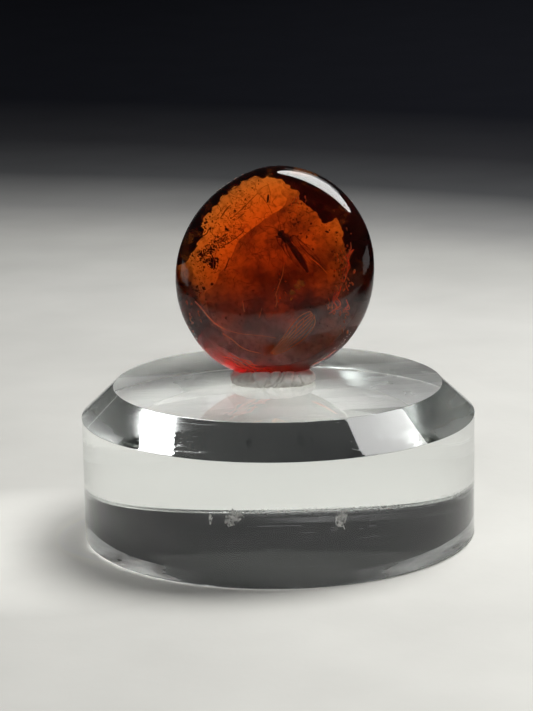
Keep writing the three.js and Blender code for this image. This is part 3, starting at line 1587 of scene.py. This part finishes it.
@dataclass(frozen=True)
class Sheet:
    """A thin skin in the stone between two curves: bark, an old flow surface or a healed crack.

    The curves are in millimetres from the stone's centre. Shares are its depths at the near curve and
    10 mm from it, ragged and buckle how far it strays sideways and in depth, and edge how wide its rim
    thins out, as a share of its half width. With open_far, the rim at the far curve stays thick.
    """

    name: str
    near: tuple[Spot, ...]
    far: tuple[Spot, ...]
    shares: tuple[float, float]
    ragged: float = 0.0
    cells: tuple[int, int] = (90, 60)
    buckle: float = 0.03
    edge: float = 0.5
    open_far: bool = False
    run: float = 10.0

    def build(self, lens: Lens, finish: bpy.types.Material) -> bpy.types.Object:
        """Makes the skin.

        Args:
            lens: the stone that it lies in.
            finish: its material.

        Returns:
            The finished piece.
        """
        bm = bmesh.new()
        start, end = (
            curve_through([Vector((x, 0.0, z)) for x, z in row], 12) for row in (self.near, self.far)
        )
        columns, rows = self.cells
        fade = bm.verts.layers.float.new(FADE)
        made = bmesh.ops.create_grid(bm, x_segments=columns, y_segments=rows, size=1.0)["verts"]
        for vert in made:
            inset = 1.0 + vert.co.y if self.open_far else 1.0 - abs(vert.co.y)
            rim = min(1.0 - abs(vert.co.x), inset)
            vert[fade] = min(1.0, rim / self.edge)
            share, across = (vert.co.x + 1) / 2, (vert.co.y + 1) / 2
            spot = along(start, share).lerp(along(end, share), across)
            if self.ragged:
                drift = noise.noise_vector(spot * 1.1) + noise.noise_vector(spot * 3.1) * 0.5
                spot += Vector((drift.x, 0.0, drift.z)) * self.ragged
            way = (spot - self._nearest(start, spot)).length / self.run
            share = self.shares[0] + (self.shares[1] - self.shares[0]) * min(way, 1.0)
            share += self.buckle * noise.noise(spot * 0.8)
            vert.co = lens.inside(spot.x, spot.z, max(-0.96, min(0.96, share)))
        return finish_piece(self.name, bm, finish, outward=False)

    def _nearest(self, curve: Sequence[Vector], spot: Vector) -> Vector:
        """The point of a curve that is nearest to a spot."""
        return min(curve[::4], key=lambda point: (point - spot).length_squared)


FLOW_SKIN = Sheet(
    "flow_skin",
    ((0.9, 10.9), (1.3, 10.0), (0.9, 9.3), (1.6, 8.6), (1.3, 7.8), (0.4, 7.04), (-1.3, 5.95),
     (-3.1, 4.55), (-4.3, 3.35), (-4.9, 2.05), (-5.5, 0.85), (-6.5, -0.26), (-7.2, -1.66), (-8.4, -2.58)),
    ((9.0, 8.72), (10.5, 6.71), (11.5, 4.7), (12.0, 2.22), (12.2, -0.28), (11.5, -3.25), (10.0, -6.23),
     (7.0, -9.2), (3.0, -10.66), (-2.0, -11.16), (-7.0, -8.66)),
    (0.2, 0.5),
    0.10,
    (170, 90),
    0.06,
)
ROLLED_EDGE = Sheet(
    "rolled_edge",
    ((1.7, 9.46), (1.5, 7.67), (0.4, 7.02), (-1.3, 5.92), (-3.1, 4.52), (-4.2, 3.37)),
    ((3.0, 9.26), (2.7, 7.27), (1.0, 5.97), (-0.9, 4.58), (-2.6, 3.38), (-4.0, 2.58)),
    (0.1, 0.1),
    0.10,
    (80, 14),
)
CLOUD_SKIN = Sheet(
    "cloud_skin",
    ((-4.5, 3.0), (-2.0, 3.6), (0.5, 4.4), (2.6, 4.2), (5.0, 3.0), (7.5, 1.6), (9.5, 0.2)),
    ((-7.5, -5.0), (-5.0, -7.5), (-2.0, -8.8), (1.0, -9.2), (4.5, -8.6), (7.5, -6.4), (9.8, -3.4)),
    (-0.1, 0.1),
    0.25,
    (110, 70),
    0.08,
)
BARK_RIGHT = Sheet(
    "bark_right",
    ((1.9, 9.66), (3.0, 8.98), (3.3, 8.11), (4.2, 7.32), (4.9, 6.63), (5.5, 5.83), (5.9, 5.43), (6.3, 6.2),
     (6.8, 6.47), (7.3, 5.87), (7.8, 4.68), (8.1, 3.49), (8.2, 2.3), (9.6, 1.23)),
    ((2.0, 11.18), (3.6, 11.15), (5.4, 10.89), (7.0, 10.25), (8.2, 9.25), (9.2, 8.42), (9.8, 7.62),
     (10.3, 6.82), (10.8, 5.82), (11.3, 4.81), (11.7, 3.61), (12.0, 2.4), (12.1, 1.4), (12.1, 0.41)),
    (0.80, 0.85),
    0.30,
    (230, 70),
)
BARK_LEFT = Sheet(
    "bark_left",
    ((1.94, 10.0), (0.83, 10.78), (-0.49, 11.01), (-1.93, 10.78), (-3.28, 10.31), (-4.58, 9.5),
     (-6.01, 8.24), (-7.2, 6.87), (-8.02, 5.72), (-7.85, 4.59), (-8.66, 3.66), (-8.93, 2.51),
     (-9.61, 1.83), (-10.06, 1.14)),
    ((2.64, 12.6), (1.2, 13.0), (-0.6, 12.7), (-2.3, 12.2), (-4.6, 11.3), (-6.8, 10.0), (-8.6, 8.4),
     (-10.0, 6.7), (-11.0, 5.0), (-11.6, 3.4), (-12.0, 2.0), (-12.1, 0.8), (-12.2, -0.3), (-12.3, -1.0)),
    (0.80, 0.85),
    0.40,
    (230, 60),
)
FLANK_RIGHT = Sheet(
    "flank_right",
    ((7.71, 6.47), (8.02, 4.11), (8.33, 1.75), (8.05, -0.62), (7.66, -2.96), (7.27, -5.31), (6.89, -7.06)),
    ((10.9, 6.9), (12.0, 4.5), (12.3, 2.5), (12.3, 0.5), (12.0, -1.8), (11.4, -4.2), (10.2, -6.6)),
    (0.3, 0.4),
    0.30,
    (150, 60),
    edge=0.45,
    open_far=True,
)
FLANK_LEFT = Sheet(
    "flank_left",
    ((-10.05, 1.13), (-9.39, -0.4), (-8.97, -2.17), (-8.19, -3.94), (-7.17, -5.73), (-5.82, -7.52),
     (-5.1, -9.6)),
    ((-12.2, 1.6), (-12.3, -1.2), (-12.1, -3.2), (-11.5, -5.4), (-10.4, -7.4), (-8.9, -9.3), (-7.0, -11.4)),
    (0.3, 0.4),
    0.30,
    (130, 50),
    edge=0.45,
    open_far=True,
)
MOTTLE = Sheet(
    "mottled_back",
    ((-11.6, 5.0), (-8.0, 9.4), (-4.0, 11.6), (0.0, 12.4), (4.0, 11.6), (8.0, 9.4), (11.6, 5.0)),
    ((-11.6, -5.0), (-8.0, -9.4), (-4.0, -11.6), (0.0, -12.4), (4.0, -11.6), (8.0, -9.4), (11.6, -5.0)),
    (0.86, 0.86),
    0.0,
    (80, 60),
    0.0,
)


@dataclass
class VeinedWing:
    """A loose wing with many curved veins, pressed against the front of the stone."""

    lens: Lens
    share: float = -0.93
    front: tuple[Spot, ...] = (
        (-0.7, -10.56), (0.9, -8.66), (2.0, -7.11), (3.1, -6.02), (4.2, -5.51), (4.6, -5.79),
    )
    rear: tuple[Spot, ...] = (
        (-0.3, -10.85), (1.4, -10.18), (2.9, -9.3), (4.1, -8.22), (4.9, -6.95), (4.8, -5.89),
    )
    long_veins: tuple[tuple[float, float], ...] = (
        (0.20, 1.0), (0.36, 0.95), (0.52, 0.80), (0.66, 0.90), (0.82, 0.75),
    )
    cross_veins: tuple[int, ...] = (24, 32, 40, 46)
    thick: float = 0.062 * MM
    thin: float = 0.045 * MM
    thick_count: int = 4

    def _sunk(self, line: Sequence[Vector]) -> list[Vector]:
        """A flat line carried to its place in the stone, slightly wavy in depth."""
        return [self.lens.inside(p.x, p.z, self.share + 0.02 * math.sin(p.x * 2)) for p in line]

    def _veins(self) -> list[list[Vector]]:
        """Works out the veins.

        Returns:
            Their courses in the stone, the two outer edges first.
        """
        front, rear = (
            curve_through([Vector((x, 0, z)) for x, z in row], 10) for row in (self.front, self.rear)
        )
        lines = [front, rear]
        pairs = list(zip(front, rear))
        for share, stop in self.long_veins:
            lines.append([a.lerp(b, share) for a, b in pairs[: int(stop * len(front))]])
        for k in self.cross_veins:
            lines.append([lines[2 + j][min(k - 2 * j, len(lines[2 + j]) - 1)] for j in range(3)])
        return [self._sunk(line) for line in lines]

    def build(self, vein: bpy.types.Material, membrane: bpy.types.Material) -> list[bpy.types.Object]:
        """Makes the skin and its veins.

        Args:
            vein: finish of the veins.
            membrane: finish of the skin.

        Returns:
            The finished pieces.
        """
        courses = self._veins()
        veins, skin = bmesh.new(), bmesh.new()
        for k, course in enumerate(courses):
            sweep(veins, course, self.thick if k < self.thick_count else self.thin, 6)
        loft(skin, courses[0], courses[1], 50, 14)
        return [
            finish_piece("loose_wing_veins", veins, vein),
            finish_piece("loose_wing_skin", skin, membrane, outward=False),
        ]


@dataclass
class PaleMatter:
    """Pale fibres, golden flakes, reddish shreds, and bright red threads of painted glints, which all catch
    the light.
    """

    lens: Lens
    seed: int = 9
    flake_share: float = -0.75
    shred_shares: tuple[float, float] = (-0.88, -0.5)
    glint_shares: tuple[float, float] = (-0.92, -0.6)

    def _shred(self, bm: bmesh.types.BMesh, patch: ShredPatch, draw: random.Random) -> None:
        """Adds one reddish shred.

        Args:
            bm: the shape that it is added to.
            patch: the patch that it belongs to.
            draw: the random source.
        """
        x, z = patch.middle
        x, z = x + draw.gauss(0, patch.wide), z + draw.gauss(0, patch.high)
        spot = self.lens.inside(x, z, draw.uniform(*self.shred_shares))
        size = Vector((draw.uniform(0.05, 0.14), 0.03, draw.uniform(0.08, 0.30))) * MM
        lump(bm, spot, size, Euler((0, draw.uniform(-0.6, 0.6), 0)), 2, 0.8)

    def _glint(self, bm: bmesh.types.BMesh, course: GlintCourse, draw: random.Random) -> None:
        """Adds one short bright red line, a painted glint along a course.

        Args:
            bm: the shape that it is added to.
            course: the course of the painted glint.
            draw: the random source.
        """
        spots = tuple(
            (x + draw.gauss(0, course.drift), z + draw.gauss(0, course.drift)) for x, z in course.spots
        )
        first = draw.randrange(0, max(1, len(spots) - 2))
        part = spots[first : first + draw.randint(3, 4)]
        share, thick = draw.uniform(*self.glint_shares), draw.uniform(0.04, 0.11)
        Thread(part, share, thick, 0.3, 3).add_to(bm, self.lens)

    def build(
        self,
        fibre: bpy.types.Material,
        gold: bpy.types.Material,
        shred: bpy.types.Material,
        glint: bpy.types.Material,
    ) -> list[bpy.types.Object]:
        """Makes the four kinds.

        Args:
            fibre: finish of the fibres.
            gold: finish of the golden flakes.
            shred: finish of the reddish shreds.
            glint: finish of the bright red cracks.

        Returns:
            The finished pieces.
        """
        draw = random.Random(self.seed)
        fibres, flakes, shreds, glints = (bmesh.new() for _ in range(4))
        for thread in PALE_FIBRES:
            thread.add_to(fibres, self.lens)
        for flake in FLAKES:
            size = Vector((flake.wide, 0.05, flake.high)) * MM
            lump(flakes, self.lens.inside(*flake.spot, self.flake_share), size, Euler((0.1, 0.5, 0)), 4, 0.9)
        for patch in SHREDS:
            for _ in range(patch.count):
                self._shred(shreds, patch, draw)
        for course in RED_COURSES:
            for _ in range(course.count):
                self._glint(glints, course, draw)
        return [
            finish_piece("red_glints", glints, glint),
            finish_piece("pale_fibres", fibres, fibre),
            finish_piece("golden_flakes", flakes, gold),
            finish_piece("red_shreds", shreds, shred),
        ]


# ---------------------------------------------------------------------------------------------
# Putty
# ---------------------------------------------------------------------------------------------


@dataclass
class PuttyPad:
    """The kneaded pad of putty that grips the stone, pulled to a lip and creased where it was folded."""

    lens: Lens
    fineness: int = 7
    squareness: float = 0.8
    belly: float = 0.5 * MM
    lumpiness: float = 0.10 * MM
    creases: tuple[tuple[float, float, float, float], ...] = (
        (-1.4, 0.55, 0.16, 0.34),
        (-0.2, 0.75, 0.13, 0.42),
        (0.35, 0.65, 0.10, 0.26),
        (1.9, 0.35, 0.12, 0.16),
        (-2.9, -0.3, 0.18, 0.14),
        (3.0, -0.5, 0.15, 0.14),
    )
    low: Vector = field(default_factory=lambda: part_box(Node.PUTTY.value)[0])
    high: Vector = field(default_factory=lambda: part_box(Node.PUTTY.value)[1])

    def _fold(self, spot: Vector) -> float:
        """Works out how far the creases sink the surface.

        Each crease has a middle along X, a lean, a width and a depth.

        Args:
            spot: a point of the pad.

        Returns:
            The depth there, in metres.
        """
        x, z = spot.x / MM, (spot.z - self.low.z) / MM
        depth = 0.0
        for middle, lean, width, deep in self.creases:
            off = (x - middle - lean * (z - 0.8)) / width
            depth += deep * math.exp(-off * off)
        return depth * MM

    def build(self, material: bpy.types.Material) -> bpy.types.Object:
        """Makes the pad, with a seat pressed by the stone.

        Args:
            material: the putty.

        Returns:
            The finished piece.
        """
        bm = bmesh.new()
        bmesh.ops.create_icosphere(bm, subdivisions=self.fineness, radius=1.0)
        half = (self.high - self.low) / 2
        middle = (self.low + self.high) / 2
        for vert in bm.verts:
            unit = vert.co.copy()
            x = math.copysign(abs(unit.x) ** self.squareness, unit.x)
            y = math.copysign(abs(unit.y) ** self.squareness, unit.y)
            rise = self.belly + (2 * half.z - self.belly) * unit.z
            rough = self.lumpiness * noise.fractal(unit * 3.0, 0.9, 2.0, 4)
            spot = Vector((middle.x + half.x * x, middle.y + half.y * y, self.low.z + rise))
            sink = self._fold(spot) * min(1.0, 2.0 * abs(unit.y) + 0.3)
            spot -= unit * (sink - rough + self.lumpiness)
            spot.z = max(spot.z, self.low.z)
            spot.z = self.lens.press(spot, self.low.z)
            vert.co = spot
        bmesh.ops.smooth_vert(
            bm, verts=bm.verts, factor=0.4, use_axis_x=True, use_axis_y=True, use_axis_z=True
        )
        piece = finish_piece("putty", bm, material)
        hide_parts(Node.PUTTY.value)
        return piece


# ---------------------------------------------------------------------------------------------
# Studio
# ---------------------------------------------------------------------------------------------


@dataclass(frozen=True)
class Panel:
    """A level light panel overhead: its reach from the object as shares of its height."""

    name: str
    across: tuple[float, float]
    along: tuple[float, float]
    radiance: float
    shape: PanelShape = PanelShape.RECTANGLE
    colour: Colour = (1.0, 1.0, 1.0)
    height: float = 0.9


PANELS = (
    Panel("softbox", (0.0, 1.43), (-0.05, 0.62), 10.5, PanelShape.ELLIPSE, (1.0, 1.0, 0.985)),
    Panel("softbox_rear", (0.34, 1.05), (0.60, 0.95), 2.2),
    Panel("softbox_rear_fringe", (0.22, 0.34), (0.62, 0.92), 1.6),
    Panel("softbox_rear_trail", (0.10, 0.22), (0.64, 0.90), 0.6),
)


@dataclass(frozen=True)
class Card:
    """A low upright light card: its bearing, half width and the heights it spans, all in degrees."""

    name: str
    bearing: float
    half_width: float
    low: float
    high: float
    radiance: float
    distance: float = 0.9
    base_top: float = 0.02


CARDS = (
    Card("rear_card_foot", -10.0, 36.0, 13.3, 13.7, 0.15),
    Card("rear_card_shin", -10.0, 36.0, 13.7, 14.0, 0.32),
    Card("rear_card_middle", -10.0, 36.0, 14.0, 14.3, 0.50),
    Card("rear_card_head", -10.0, 36.0, 14.3, 14.7, 0.70),
    Card("left_card", -92.0, 14.0, 3.0, 13.0, 0.62),
    Card("right_card", 88.0, 14.0, 3.0, 13.0, 0.66),
)


@dataclass(frozen=True)
class PaleFloor:
    """A pale table that falls to near black at the back and darkens far in front. It has painted light: it
    is lighter to the right, with a painted pool of light under the round and a painted lift of the round's
    cast shadow to its left.
    """

    falloff: tuple[tuple[float, Colour], ...] = (
        (0.10, (0.572, 0.567, 0.540)),
        (0.30, (0.472, 0.468, 0.449)),
        (0.42, (0.320, 0.318, 0.305)),
        (0.50, (0.160, 0.160, 0.158)),
        (0.60, (0.040, 0.041, 0.043)),
        (0.72, (0.0150, 0.0152, 0.0170)),
        (0.90, (0.0050, 0.0053, 0.0070)),
    )
    depth: float = 0.484
    skew: float = 0.40
    narrows_from: float = -0.30
    front: tuple[float, float, float, float] = (-0.90, -0.20, 0.55, 1.06)
    # Painted light: the table is lighter to the right and darker to the left.
    side: tuple[float, float, float, float] = (-0.060, 0.060, 0.88, 1.16)
    mottle: tuple[float, float] = (0.955, 1.045)
    # Painted pool of light on the table under the round, standing in for light that the clear round gathers
    # there.
    painted_pool_middle: Point = (-0.007, 0.0, 0.0)
    painted_pool_of_light: tuple[float, float, float, float] = (0.022, 0.013, 1.0, 1.72)
    # Painted light that lifts the round's cast shadow on the table to its left.
    painted_shadow_lift_middle: Point = (-0.032, -0.006, 0.0)
    painted_shadow_lift: tuple[float, float, float, float] = (0.028, 0.004, 1.0, 1.75)

    def _factor_with_painted_light(self, nodes: NodeTree) -> Socket:
        """Works out the factor on the table's tone apart from its falloff: darker far in front, painted
        light that is lighter to the right, a random mottle, a painted pool of light under the round and a
        painted lift of the round's cast shadow to its left.

        Args:
            nodes: the finish's nodes.

        Returns:
            The factor, about 1.
        """
        where = nodes.where()
        right, back, _ = nodes.axes(where)
        return nodes.product(
            nodes.remap(back, *self.front),
            nodes.remap(right, *self.side),
            nodes.remap(nodes.noise(where, 45.0, 5.0), 0.3, 0.7, *self.mottle),
            nodes.remap(nodes.distance(where, self.painted_pool_middle), *self.painted_pool_of_light),
            nodes.remap(nodes.distance(where, self.painted_shadow_lift_middle), *self.painted_shadow_lift),
        )

    def build(self) -> bpy.types.Material:
        """Makes the finish.

        Returns:
            The table's material.
        """
        material, nodes = new_material("pale_floor")
        right, back, _ = nodes.axes(nodes.where())
        behind = nodes.math("MAXIMUM", back, 0.0)
        sideways = nodes.product(right, nodes.remap(back, self.narrows_from, 0.0))
        rear = nodes.add("ShaderNodeCombineXYZ", {"X": sideways, "Y": behind}).outputs["Vector"]
        reach = nodes.add("ShaderNodeVectorMath", {0: rear}, operation="LENGTH").outputs["Value"]
        away = nodes.total(reach, nodes.product(sideways, self.skew))
        tone = nodes.ramp(nodes.remap(away, 0.0, self.depth), self.falloff)
        tone_with_painted_light = nodes.add(
            "ShaderNodeVectorMath", {0: tone, "Scale": self._factor_with_painted_light(nodes)}, operation="SCALE"
        )
        nodes.surface(
            {
                "Base Color": tone_with_painted_light.outputs["Vector"],
                "Roughness": 0.95,
                "Specular IOR Level": 0.0,
                "Normal": nodes.bump(nodes.noise(nodes.where(), 600.0, 4.0), 0.05 * MM, 0.5),
            }
        )
        return material


@dataclass
class Studio:
    """Camera, floor, soft panels and dark surround."""

    lens_mm: float = 126.58
    sensor_mm: float = 36.0
    clip: tuple[float, float] = (0.001, 20.0)
    elevation: float = math.radians(12.91)
    roll: float = math.radians(-0.903)
    distance: float = 317.4 * MM
    target: Vector = field(default_factory=lambda: Vector((-1.365, 0.0, 22.96)) * MM)
    floor_radius: float = 1.3
    floor_drop: float = 0.05 * MM
    panel_clearance: float = 0.03
    fill_power: float = 1.15
    fill_size: float = 0.30
    fill_place: Point = (-0.25, -0.75, 0.28)
    room: tuple[tuple[float, Colour], ...] = (
        (0.02, (0.004, 0.0045, 0.006)),
        (0.30, (0.022, 0.022, 0.023)),
    )
    room_front: tuple[float, float] = (-0.1, -0.5)
    room_low: tuple[float, float] = (0.24, 0.0)
    room_glow: float = 0.12
    clear_bounces: int = 24
    glossy_bounces: int = 8
    diffuse_bounces: int = 4
    see_through_bounces: int = 48

    def camera(self) -> None:
        """Sets the camera at the viewing angle."""
        data = bpy.data.cameras.new("camera")
        data.lens = self.lens_mm
        data.sensor_width = self.sensor_mm
        data.clip_start, data.clip_end = self.clip
        camera = bpy.data.objects.new("camera", data)
        bpy.context.scene.collection.objects.link(camera)
        back = Vector((0.0, -math.cos(self.elevation), math.sin(self.elevation)))
        turn = Matrix.Rotation(math.pi / 2 - self.elevation, 4, "X") @ Matrix.Rotation(self.roll, 4, "Z")
        camera.matrix_world = Matrix.Translation(self.target + back * self.distance) @ turn
        bpy.context.scene.camera = camera

    def floor(self) -> None:
        """Lays a pale table that darkens away from the object."""
        bm = bmesh.new()
        bmesh.ops.create_circle(bm, cap_ends=True, segments=128, radius=self.floor_radius)
        mesh = bpy.data.meshes.new("floor")
        bm.to_mesh(mesh)
        bm.free()
        mesh.materials.append(PaleFloor().build())
        floor = bpy.data.objects.new("floor", mesh)
        floor.location.z = -self.floor_drop
        bpy.context.scene.collection.objects.link(floor)

    def hang(self, panel: Panel) -> None:
        """Hangs one panel.

        Args:
            panel: the panel.
        """
        wide, deep = ((end - start) * panel.height for start, end in (panel.across, panel.along))
        data = bpy.data.lights.new(panel.name, "AREA")
        data.shape = panel.shape.value
        data.size, data.size_y = wide, deep
        area = wide * deep * (math.pi / 4 if panel.shape is PanelShape.ELLIPSE else 1.0)
        data.energy = math.pi * area * panel.radiance
        data.color = panel.colour
        lamp = bpy.data.objects.new(panel.name, data)
        x, y = (sum(span) / 2 * panel.height for span in (panel.across, panel.along))
        lamp.location = (x, y, panel.height + self.panel_clearance)
        lamp.visible_camera = False
        bpy.context.scene.collection.objects.link(lamp)

    def stand(self, card: Card) -> None:
        """Stands one low card round the object, facing it.

        Args:
            card: the card.
        """
        bearing = math.radians(card.bearing)
        low, high = (card.distance * math.tan(math.radians(edge)) for edge in (card.low, card.high))
        data = bpy.data.lights.new(card.name, "AREA")
        data.shape = PanelShape.RECTANGLE.value
        data.size = 2 * card.distance * math.tan(math.radians(card.half_width))
        data.size_y = high - low
        data.energy = math.pi * data.size * data.size_y * card.radiance
        lamp = bpy.data.objects.new(card.name, data)
        lamp.rotation_euler = (-math.pi / 2, 0.0, -bearing)
        lamp.location = (
            card.distance * math.sin(bearing),
            card.distance * math.cos(bearing),
            card.base_top + (low + high) / 2,
        )
        lamp.visible_camera = False
        bpy.context.scene.collection.objects.link(lamp)

    def fill(self) -> None:
        """Hangs a weak lamp in front that opens the shadows without showing in the stone."""
        data = bpy.data.lights.new("front_fill", "AREA")
        data.size = self.fill_size
        data.energy = self.fill_power
        lamp = bpy.data.objects.new("front_fill", data)
        lamp.location = self.fill_place
        lamp.rotation_euler = lamp.location.to_track_quat("Z", "Y").to_euler()
        lamp.visible_camera = False
        lamp.visible_glossy = False
        lamp.visible_transmission = False
        bpy.context.scene.collection.objects.link(lamp)

    def surround(self) -> None:
        """Makes a dark room, a little lighter higher up and low in front."""
        world = bpy.data.worlds.new("dark_room")
        world.use_nodes = True
        nodes = NodeTree(world.node_tree)
        _, back, up = nodes.axes(nodes.add("ShaderNodeTexCoord").outputs["Generated"])
        low = nodes.remap(up, *self.room_low, 0.0, self.room_glow)
        glow = nodes.grey(nodes.product(nodes.remap(back, *self.room_front), low))
        lifted = nodes.add(
            "ShaderNodeVectorMath", {0: nodes.ramp(up, self.room), 1: glow}, operation="ADD"
        )
        shade = nodes.add("ShaderNodeBackground", {"Color": lifted.outputs["Vector"], "Strength": 1.0})
        output = nodes.add("ShaderNodeOutputWorld")
        nodes.link(shade.outputs["Background"], output.inputs["Surface"])
        bpy.context.scene.world = world

    def tune(self) -> None:
        """Gives light enough bounces to cross stone and stand."""
        scene = bpy.context.scene
        scene.view_settings.view_transform = "Standard"
        cycles = scene.cycles
        cycles.max_bounces = self.clear_bounces
        cycles.transmission_bounces = self.clear_bounces
        cycles.glossy_bounces = self.glossy_bounces
        cycles.diffuse_bounces = self.diffuse_bounces
        cycles.transparent_max_bounces = self.see_through_bounces

    def build(self) -> None:
        """Sets up the whole studio."""
        self.camera()
        self.floor()
        for panel in PANELS:
            self.hang(panel)
        for card in CARDS:
            self.stand(card)
        self.fill()
        self.surround()
        self.tune()


@dataclass
class SealedWorld:
    """Everything sealed in the stone."""

    lens: Lens
    gnat_spot: tuple[float, float, float] = (2.0, 2.85, -0.32)
    gnat_heading: Point = (-0.595, 0.05, 0.804)
    gnat_back: Point = (0.45, -0.85, 0.3)

    def _sheets(self) -> None:
        """Makes the bark and the skins, from the dark bark at the back to the clouds in front."""
        bark = BARK_FILM.build()
        flank = FLANK_FILM.build()
        for sheet, finish in (
            (BARK_RIGHT, bark),
            (BARK_LEFT, bark),
            (FLOW_SKIN, FLOW_FILM.build()),
            (MOTTLE, MOTTLED_FILM.build()),
            (FLANK_RIGHT, flank),
            (FLANK_LEFT, flank),
            (ROLLED_EDGE, ROLLED_FILM.build()),
            (CLOUD_SKIN, CLOUD_FILM.build()),
        ):
            sheet.build(self.lens, finish)

    def build(self) -> None:
        """Makes the debris, the skins, the gnat, the pale matter and the loose wing."""
        Debris(self.lens).build(BARK.build())
        self._sheets()
        membrane = WING_SKIN.build()
        gnat = Insect(self.lens.inside(*self.gnat_spot), Vector(self.gnat_heading), Vector(self.gnat_back))
        gnat.build(INSECT_SHELL.build(), membrane)
        PaleMatter(self.lens).build(
            PALE_FIBRE.build(), GOLDEN_FLAKE.build(), RED_SHRED.build(), RED_GLINT.build()
        )
        VeinedWing(self.lens).build(WING_VEIN.build(), membrane)


def main() -> None:
    """Builds the studio, the round, the putty, the stone and what it holds."""
    logging.basicConfig(level=logging.INFO, format="%(name)s: %(message)s")
    noise.seed_set(NOISE_SEED)
    Studio().build()
    effects = Effects()
    lens = Lens()
    base = DisplayRound()
    base.build(ClearAcrylic(effects).build())
    GlueSmears(base.high.x).build(DRIED_GLUE.build())
    PuttyPad(lens).build(Putty(effects).build())
    amber = RedAmber(effects, lens.centre, lens.turned(Vector((0.0, 1.0, 0.0))))
    AmberStone(lens).build(amber.build())
    RimChips(lens).build(BRUISED_AMBER.build())
    SealedWorld(lens).build()


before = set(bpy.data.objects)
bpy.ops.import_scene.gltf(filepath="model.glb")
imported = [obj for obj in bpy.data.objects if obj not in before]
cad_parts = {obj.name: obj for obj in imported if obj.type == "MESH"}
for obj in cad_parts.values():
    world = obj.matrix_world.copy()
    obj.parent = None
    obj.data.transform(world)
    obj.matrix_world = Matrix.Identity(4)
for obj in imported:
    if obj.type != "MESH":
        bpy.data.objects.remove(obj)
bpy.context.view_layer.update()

if __name__ == "__main__":
    main()
